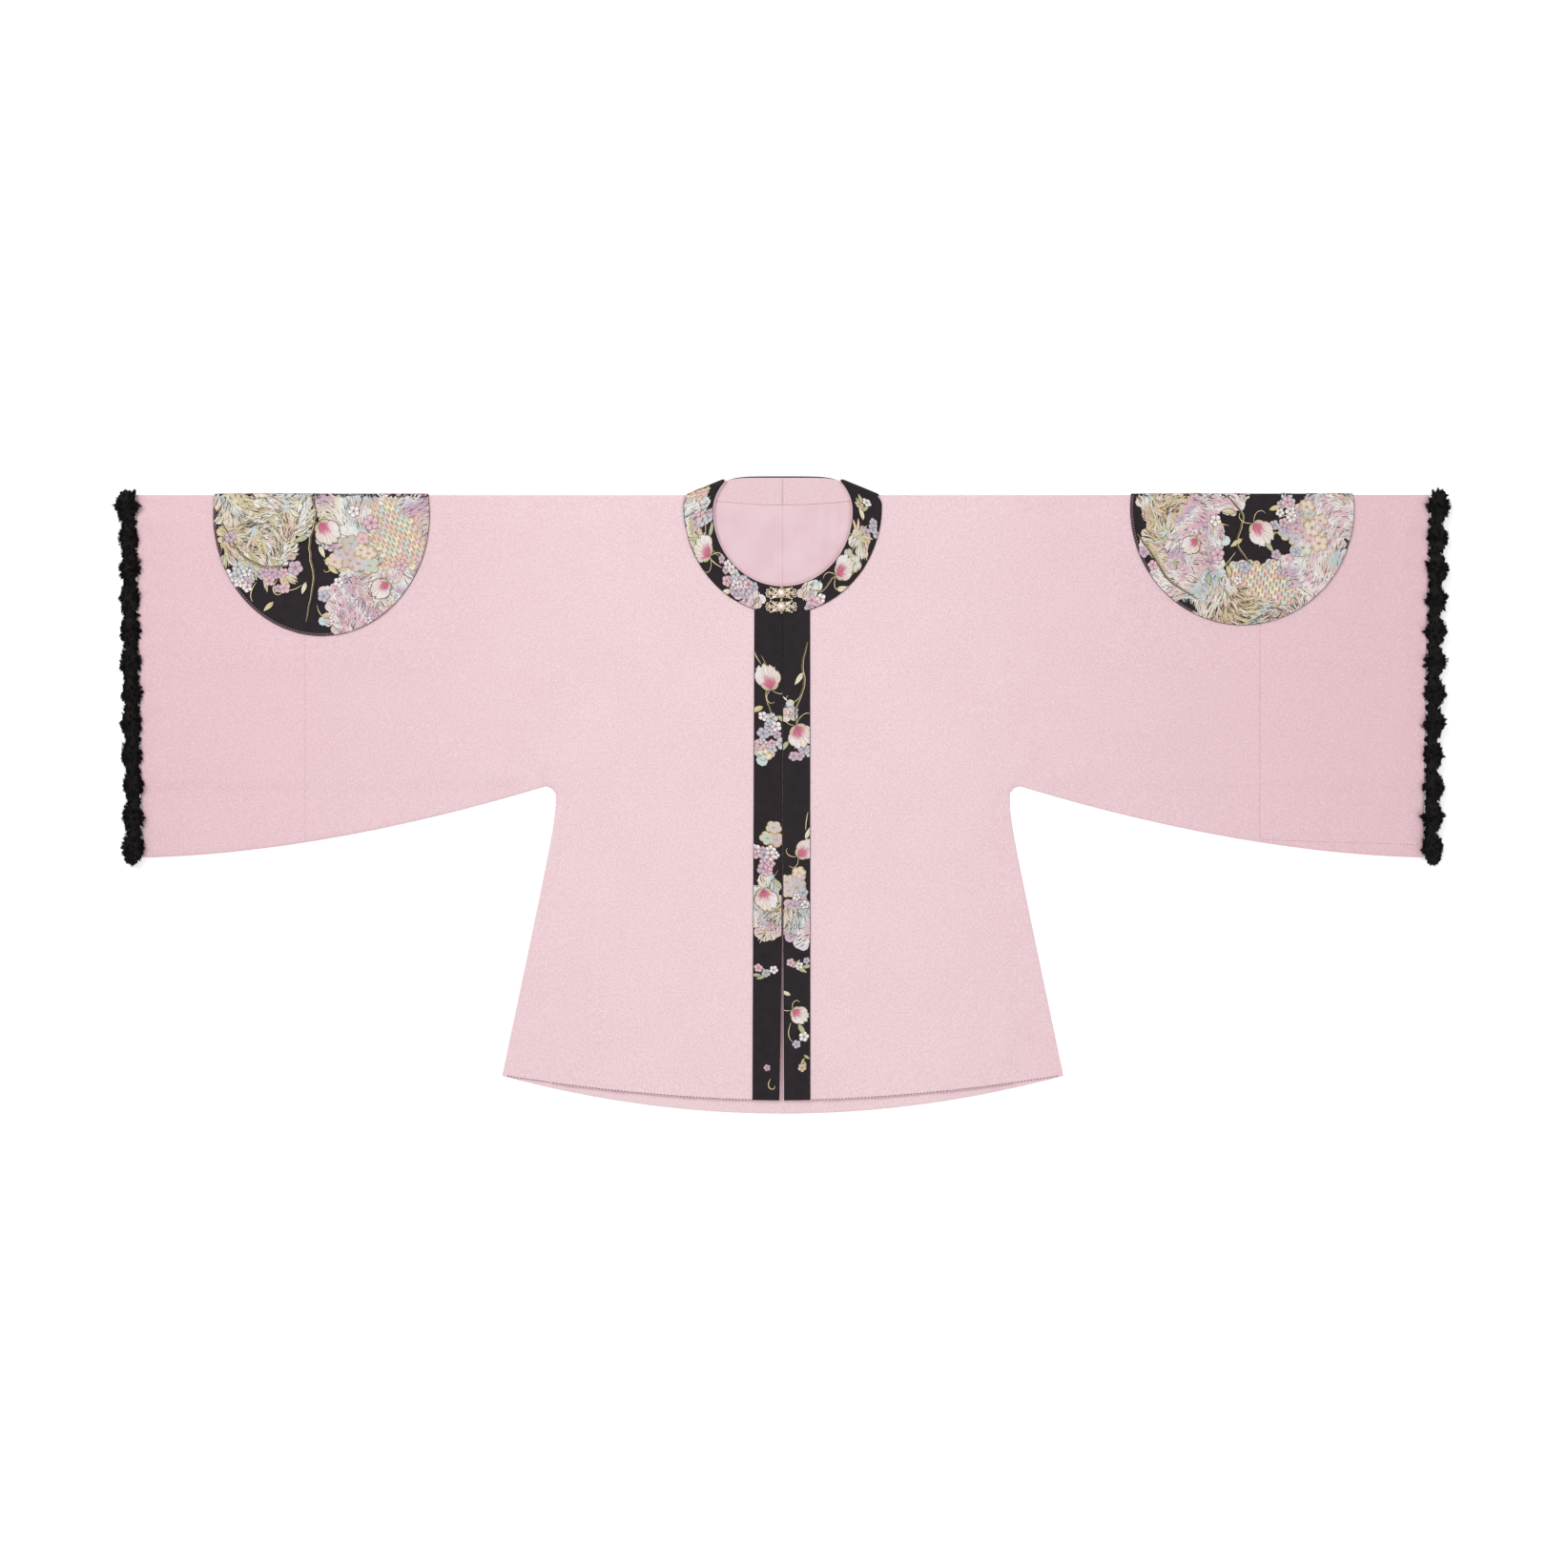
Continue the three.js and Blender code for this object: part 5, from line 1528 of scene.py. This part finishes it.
def furPuffs(side):  # middle, half sizes and layer of each: 1 and 2 in front, -1 behind, 0 at the ends
    pitch = (fur["top"] - fur["bottom"]) / fur["puffs"]
    (frontZ, frontHalf), (waistZ, waistHalf), (backZ, backHalf) = fur["front"], fur["waist"], fur["back"]
    puffs = []
    for k, wide in enumerate(side["reach"]):
        y = fur["top"] - pitch * (k + 0.5)
        half = (wide + fur["overlap"]) / 2
        x = cuffX(y) + wide - half
        puffs.append(((x, y, frontZ), (half, pitch * 0.56, frontHalf), 1))
        puffs.append(((cuffX(y) + wide / 2, y, backZ), (wide / 2, pitch * 0.54, backHalf), -1))
        if k:
            y += pitch / 2
            x = cuffX(y) + side["pinch"] - 2.6
            puffs.append(((x, y, waistZ), (side["pinch"], pitch * 0.24, waistHalf), 2))
            puffs.append(((cuffX(y) + 6.6, y, backZ), (6.4, pitch * 0.22, 3.0), -1))
    for y in (fur["top"] - 4.5, fur["bottom"] + 4.5):
        puffs.append(((cuffX(y) + 11.0, y, 7.0), (10.0, 6.0, 6.0), 0))
    return puffs


def furHairs(side, puffs, rng):  # three faces a hair; the tips draw together into points
    points, faces, count = [], [], 0
    for middle, size, layer in puffs:
        n = int(fur["hairs"] * fur["hairShare"][layer])
        size, middle = np.array(size), np.array(middle)
        way = rng.normal(size=(n, 3))
        way /= np.linalg.norm(way, axis=1, keepdims=True)
        tufts = rng.normal(size=(fur["tufts"] if layer == 1 else fur["tufts"] // 3, 3))
        tufts /= np.linalg.norm(tufts, axis=1, keepdims=True)
        reachOf = rng.uniform(0.88, 1.2, len(tufts)) + 0.16 * (rng.random(len(tufts)) > 0.93)
        near = np.argmax(way @ tufts.T, axis=1)
        apart = 1 - np.einsum("ij,ij->i", way, tufts[near])
        pull = rng.uniform(0.42, 0.9, (n, 1))
        tip = way + (tufts[near] - way) * pull
        tip /= np.linalg.norm(tip, axis=1, keepdims=True)
        reach = reachOf[near] * (1 - 1.6 * apart) * rng.uniform(0.9, 1.02, n)
        narrow = 1 - side["puffTaper"] * np.abs(tip[:, 1:2]) * [1, 0, 1]
        tip = middle + tip * size * narrow * np.clip(reach, 0.7, 1.3)[:, None] + rng.normal(0, 0.2, (n, 3))
        root = middle + way * size * narrow * 0.62
        bend = (root * 0.45 + tip * 0.55) + way * size * 0.05 + rng.normal(0, 0.25, (n, 3))
        across = np.cross(tip - root, rng.normal(size=(n, 3)))
        across /= np.maximum(np.linalg.norm(across, axis=1, keepdims=True), 1e-6)
        broad = across * (fur["rootWidth"] / 2)
        slim = broad * 0.7
        block = np.stack([root + broad, root - broad, bend + slim, bend - slim, tip], 1)
        if layer > 0:  # the front strand lies on the cloth and keeps off the back one
            block[..., 2] = np.maximum(block[..., 2], 7.0 + 0.02 * rng.random(block.shape[:2]))
        else:
            block[..., 2] = np.clip(block[..., 2], fur["lowest"], 99 if layer == 0 else 6.6)
        points.append(block.reshape(-1, 3))
        base = count + np.arange(n)[:, None] * 5
        faces.append((base[:, :, None] + np.array([[0, 1, 3], [0, 3, 2], [2, 3, 4]])[None]).reshape(-1, 3))
        count += n * 5
    return np.concatenate(points), np.concatenate(faces)


def furCuff(side, seed):
    rng = np.random.default_rng(seed)
    puffs = furPuffs(side)
    name = side["name"].capitalize()
    hairs, _ = meshPiece("furHairs" + name, *furHairs(side, puffs, rng), side["sign"] < 0)
    dress(hairs, blackFur)
    balls = []  # the pelt that carries the hairs
    for (x, y, z), size, _ in puffs:
        balls.append(addBall((x * side["sign"], y, z), [v * share for v, share in zip(size, fur["pelt"])]))
    pelt = joined(balls, "furPelt" + name)
    pelt.select_set(True)
    bpy.context.view_layer.objects.active = pelt
    bpy.ops.object.modifier_add(type="REMESH")
    pelt.modifiers[-1].mode = "VOXEL"
    pelt.modifiers[-1].voxel_size = fur["voxel"]
    bpy.ops.object.modifier_apply(modifier=pelt.modifiers[-1].name)
    bpy.ops.object.mode_set(mode="EDIT")
    bpy.ops.mesh.select_all(action="SELECT")
    bpy.ops.mesh.vertices_smooth(factor=0.5, repeat=2)
    bpy.ops.object.mode_set(mode="OBJECT")
    bpy.ops.object.shade_smooth()
    pelt.select_set(False)
    dress(pelt, blackFur, ["fur_cuff_" + side["name"]])
    counts = len(hairs.data.polygons), len(pelt.data.polygons)
    print("fur cuff", side["name"], counts[0], "faces of hair,", counts[1], "of pelt")
    return pelt, hairs


def joined(parts, name):
    bpy.ops.object.select_all(action="DESELECT")
    for part in parts:
        part.select_set(True)
    bpy.context.view_layer.objects.active = parts[0]
    bpy.ops.object.join()
    piece = bpy.context.object
    piece.name = name
    bpy.ops.object.shade_smooth()
    piece.select_set(False)
    return piece


furCuffs = {side["name"]: furCuff(side, 80 + n) for n, side in enumerate(sides)}


# clasps
clasp = {
    "x": -1.6, "y": {"upper": -108.4, "lower": -123.2}, "floor": 7.6, "cupRadius": 4.3, "pearlRadius": 3.2,
    "collarLoops": 8, "loopRing": 6.0, "wire": 0.62,
    "leaves": ((0.0, 12.4, 3.9), (0.66, 10.6, 3.4), (-0.66, 10.6, 3.4)),  # direction, distance, half length
}


def addRing(place, major, minor, squash=1.0, turn=0.0, taper=0.0):
    bpy.ops.object.select_all(action="DESELECT")
    bpy.ops.mesh.primitive_torus_add(major_radius=major / 1000, minor_radius=minor / 1000,
                                     major_segments=22, minor_segments=8)
    ring = bpy.context.object
    bpy.ops.object.mode_set(mode="EDIT")
    bpy.ops.mesh.select_all(action="SELECT")
    bpy.ops.transform.resize(value=(1, squash, 1))
    bpy.ops.object.mode_set(mode="OBJECT")
    for v in ring.data.vertices:  # a loop drawn out to a point, as a leaf
        t = (v.co.x / (major / 1000) + 1) / 2
        v.co.y *= 1 - taper * max(0.0, t) ** 1.5
        v.co.x *= 1 + taper * 0.25 * (t > 0.5)
    ring.rotation_euler = (0, 0, turn)
    ring.location = toRow(place)
    bpy.ops.object.transform_apply(location=True, rotation=True, scale=True)
    return ring


def addBead(place, radius, flat=1.0, long=1.0, turn=0.0):
    bpy.ops.object.select_all(action="DESELECT")
    bpy.ops.mesh.primitive_uv_sphere_add(segments=14, ring_count=8, radius=radius / 1000)
    bead = bpy.context.object
    bead.scale = (long, 1, flat)
    bead.rotation_euler = (0, 0, turn)
    bead.location = toRow(place)
    bpy.ops.object.transform_apply(location=True, rotation=True, scale=True)
    return bead


def wing(cx, cy, sign):  # openwork leaves that spread from the middle
    z = clasp["floor"] + 0.8
    parts = []
    for turn, far, size in clasp["leaves"]:
        wayX, wayY = sign * math.cos(turn), math.sin(turn)
        x, y = cx + wayX * far, cy + wayY * far * 0.62
        way = turn if sign > 0 else math.pi - turn
        parts.append(addRing((x, y, z), size, 0.82, 0.52, way, 0.7))
        parts.append(addBead((x - sign * 0.3, y, z - 0.1), 1.0, 0.6, 2.3, way))
        parts.append(addBead((cx + wayX * (far + 4.4), cy + wayY * (far + 3.6) * 0.66, z), 0.9, 0.8))
    for turn in (0.34, -0.34):
        wayX, wayY = sign * math.cos(turn), math.sin(turn)
        parts.append(addRing((cx + wayX * 15.4, cy + wayY * 8.6, z - 0.1), 1.7, 0.62, 0.8, turn))
        parts.append(addBead((cx + wayX * 8.0, cy + wayY * 7.0, z + 0.2), 0.9, 0.9))
    return parts


def claspPieces(which):
    cx, cy, z = clasp["x"], clasp["y"][which], clasp["floor"]
    cup = [addRing((cx, cy, z + 1.5), clasp["cupRadius"] - 0.5, 0.75), addBead((cx, cy, z + 0.9), 3.9, 0.22)]
    for k in range(clasp["collarLoops"]):
        a = k * 2 * math.pi / clasp["collarLoops"] + math.pi / 2
        x, y = cx + math.cos(a) * clasp["loopRing"], cy + math.sin(a) * clasp["loopRing"] * 0.86
        cup.append(addRing((x, y, z + 0.7), 1.75, clasp["wire"], 0.7, a, 0.4))
        between = a + math.pi / clasp["collarLoops"]
        cup.append(addBead((cx + math.cos(between) * 5.3, cy + math.sin(between) * 5.0, z + 1.2), 0.62))
    left = joined(cup + wing(cx, cy, 1), "clasp" + which.capitalize() + "Left")
    dress(left, paleGold, ["clasp_%s_left" % which])
    right = joined(wing(cx, cy, -1), "clasp" + which.capitalize() + "Right")
    dress(right, paleGold, ["clasp_%s_right" % which])
    bpy.ops.object.select_all(action="DESELECT")
    bpy.ops.mesh.primitive_uv_sphere_add(segments=28, ring_count=18, radius=clasp["pearlRadius"] / 1000,
                                         location=toRow([cx, cy, z + 2.2 + 2.3]))
    pearl = bpy.context.object
    pearl.name = "pearl" + which.capitalize()
    bpy.ops.object.transform_apply(location=True, rotation=True, scale=True)
    bpy.ops.object.shade_smooth()
    pearl.select_set(False)
    dress(pearl, creamPearl, ["pearl_" + which])
    return left, right, pearl


clasps = {which: claspPieces(which) for which in clasp["y"]}
print("clasps made")


# edging and stitches
edging = {"pitch": 3.1, "share": 0.66, "inset": 2.4, "width": 0.75}
silk.update({"edge": rgb(96, 74, 82), "stitch": rgb(176, 134, 146)})


def roundelEdging(side):
    surface = patterned["roundel", side["name"]]
    pattern = Pattern(surface, 5, lift=0.06)
    cu, cv = surface.width / 2, surface.length / 2

    def ring(angles, inset):
        return np.stack([cu + (cu - inset) * np.cos(angles), cv + (cv - inset) * np.sin(angles)], 1)
    whole = np.linspace(0, 2 * math.pi, 361)
    pattern.thread(ring(whole, 0.9), 1.0, "edge", 0.0, height=0.05)
    stitches = int(2 * math.pi * math.sqrt((cu * cu + cv * cv) / 2) / edging["pitch"])
    for k in range(stitches):
        a = (k + np.linspace(0, edging["share"], 4)) * 2 * math.pi / stitches
        pattern.thread(ring(a, edging["inset"]), edging["width"], "stitch", 0.0, True, 0.2)
    return pattern.build("roundelEdge" + side["name"].capitalize(), side["sign"] < 0)


# the hem stitches' thread; its colour also paints the underarm seam's shadow line
threadLookWithSeamShade = {"inset": 1.1, "stitch": 2.6, "pitch": 3.6, "width": 1.2, "raised": 0.28,
             "colour": rgb(118, 74, 88), "pale": rgb(172, 130, 142)}


def threadMaterial():
    material, nodes, links, shader = newMaterial("threadWithSeamShade", {"Roughness": 0.7})
    place = nodes.new("ShaderNodeTexCoord").outputs["Object"]
    twist = ranged(nodes, links, noise(nodes, links, place, 900, 2), 0.35, 0.65)
    base = mixColour(nodes, links, twist, threadLookWithSeamShade["colour"], threadLookWithSeamShade["pale"])
    links.new(base, shader.inputs["Base Color"])
    return material


# one thread material for the real hem stitches and for the painted shadow line of the underarm seam
threadWithSeamShade = threadMaterial()


def stitchLine(side, name, path):  # small stitches along a line on the front, each with a raised middle
    path = np.asarray(path, dtype=float)
    run = runLength(path)
    starts = np.arange(0, run[-1] - threadLookWithSeamShade["stitch"], threadLookWithSeamShade["pitch"])
    share = np.array([0, 0.25, 0.75, 1])
    at = starts[:, None] + share * threadLookWithSeamShade["stitch"]
    x, y = np.interp(at, run, path[:, 0]), np.interp(at, run, path[:, 1])
    along = np.stack([np.gradient(x, axis=1), np.gradient(y, axis=1)], -1)
    along /= np.linalg.norm(along, axis=-1, keepdims=True)
    half = threadLookWithSeamShade["width"] / 2 * np.array([0.5, 1, 1, 0.5])
    hemDrop = edgeRound(np.full(at.shape, threadLookWithSeamShade["inset"]))
    points = []
    for across, lift in ((-1, 0.0), (0, threadLookWithSeamShade["raised"]), (1, 0.0)):
        px, py = x - along[..., 1] * half * across, y + along[..., 0] * half * across
        z = frontFace(side, px, py) - hemDrop + 0.02 + lift * np.array([0.2, 1, 1, 0.2])
        points.append(np.stack([px, py, z], -1))
    block = np.stack(points, 2).reshape(-1, 3)
    base = np.arange(len(starts))[:, None, None] * 12
    k, j = np.meshgrid(np.arange(3), np.arange(2), indexing="ij")
    a = (k * 3 + j).ravel()[None, :, None]
    faces = (base + a + np.array([0, 3, 4, 1])[None, None]).reshape(-1, 4)
    piece, _ = meshPiece(name + side["name"].capitalize(), block, faces, side["sign"] < 0)
    dress(piece, threadWithSeamShade)
    return piece


hemX = np.linspace(32, 305, 60)
hemLine = np.stack([hemX, threadLookWithSeamShade["inset"] - frontHem(hemX)], 1)
hemStitches = {side["name"]: stitchLine(side, "hemStitches", hemLine) for side in sides}
# a line of dark stitches along the underarm seam: painted shadow of the seam's groove
underarmSeamShadow = stitchLine(sides[0], "underarmSeamShadow", [(527, -379.5), (600, -382), (660, -383.5), (702, -385)])
edges = {side["name"]: roundelEdging(side) for side in sides}
print("edging and stitches made")


for side in sides:
    key = side["name"]
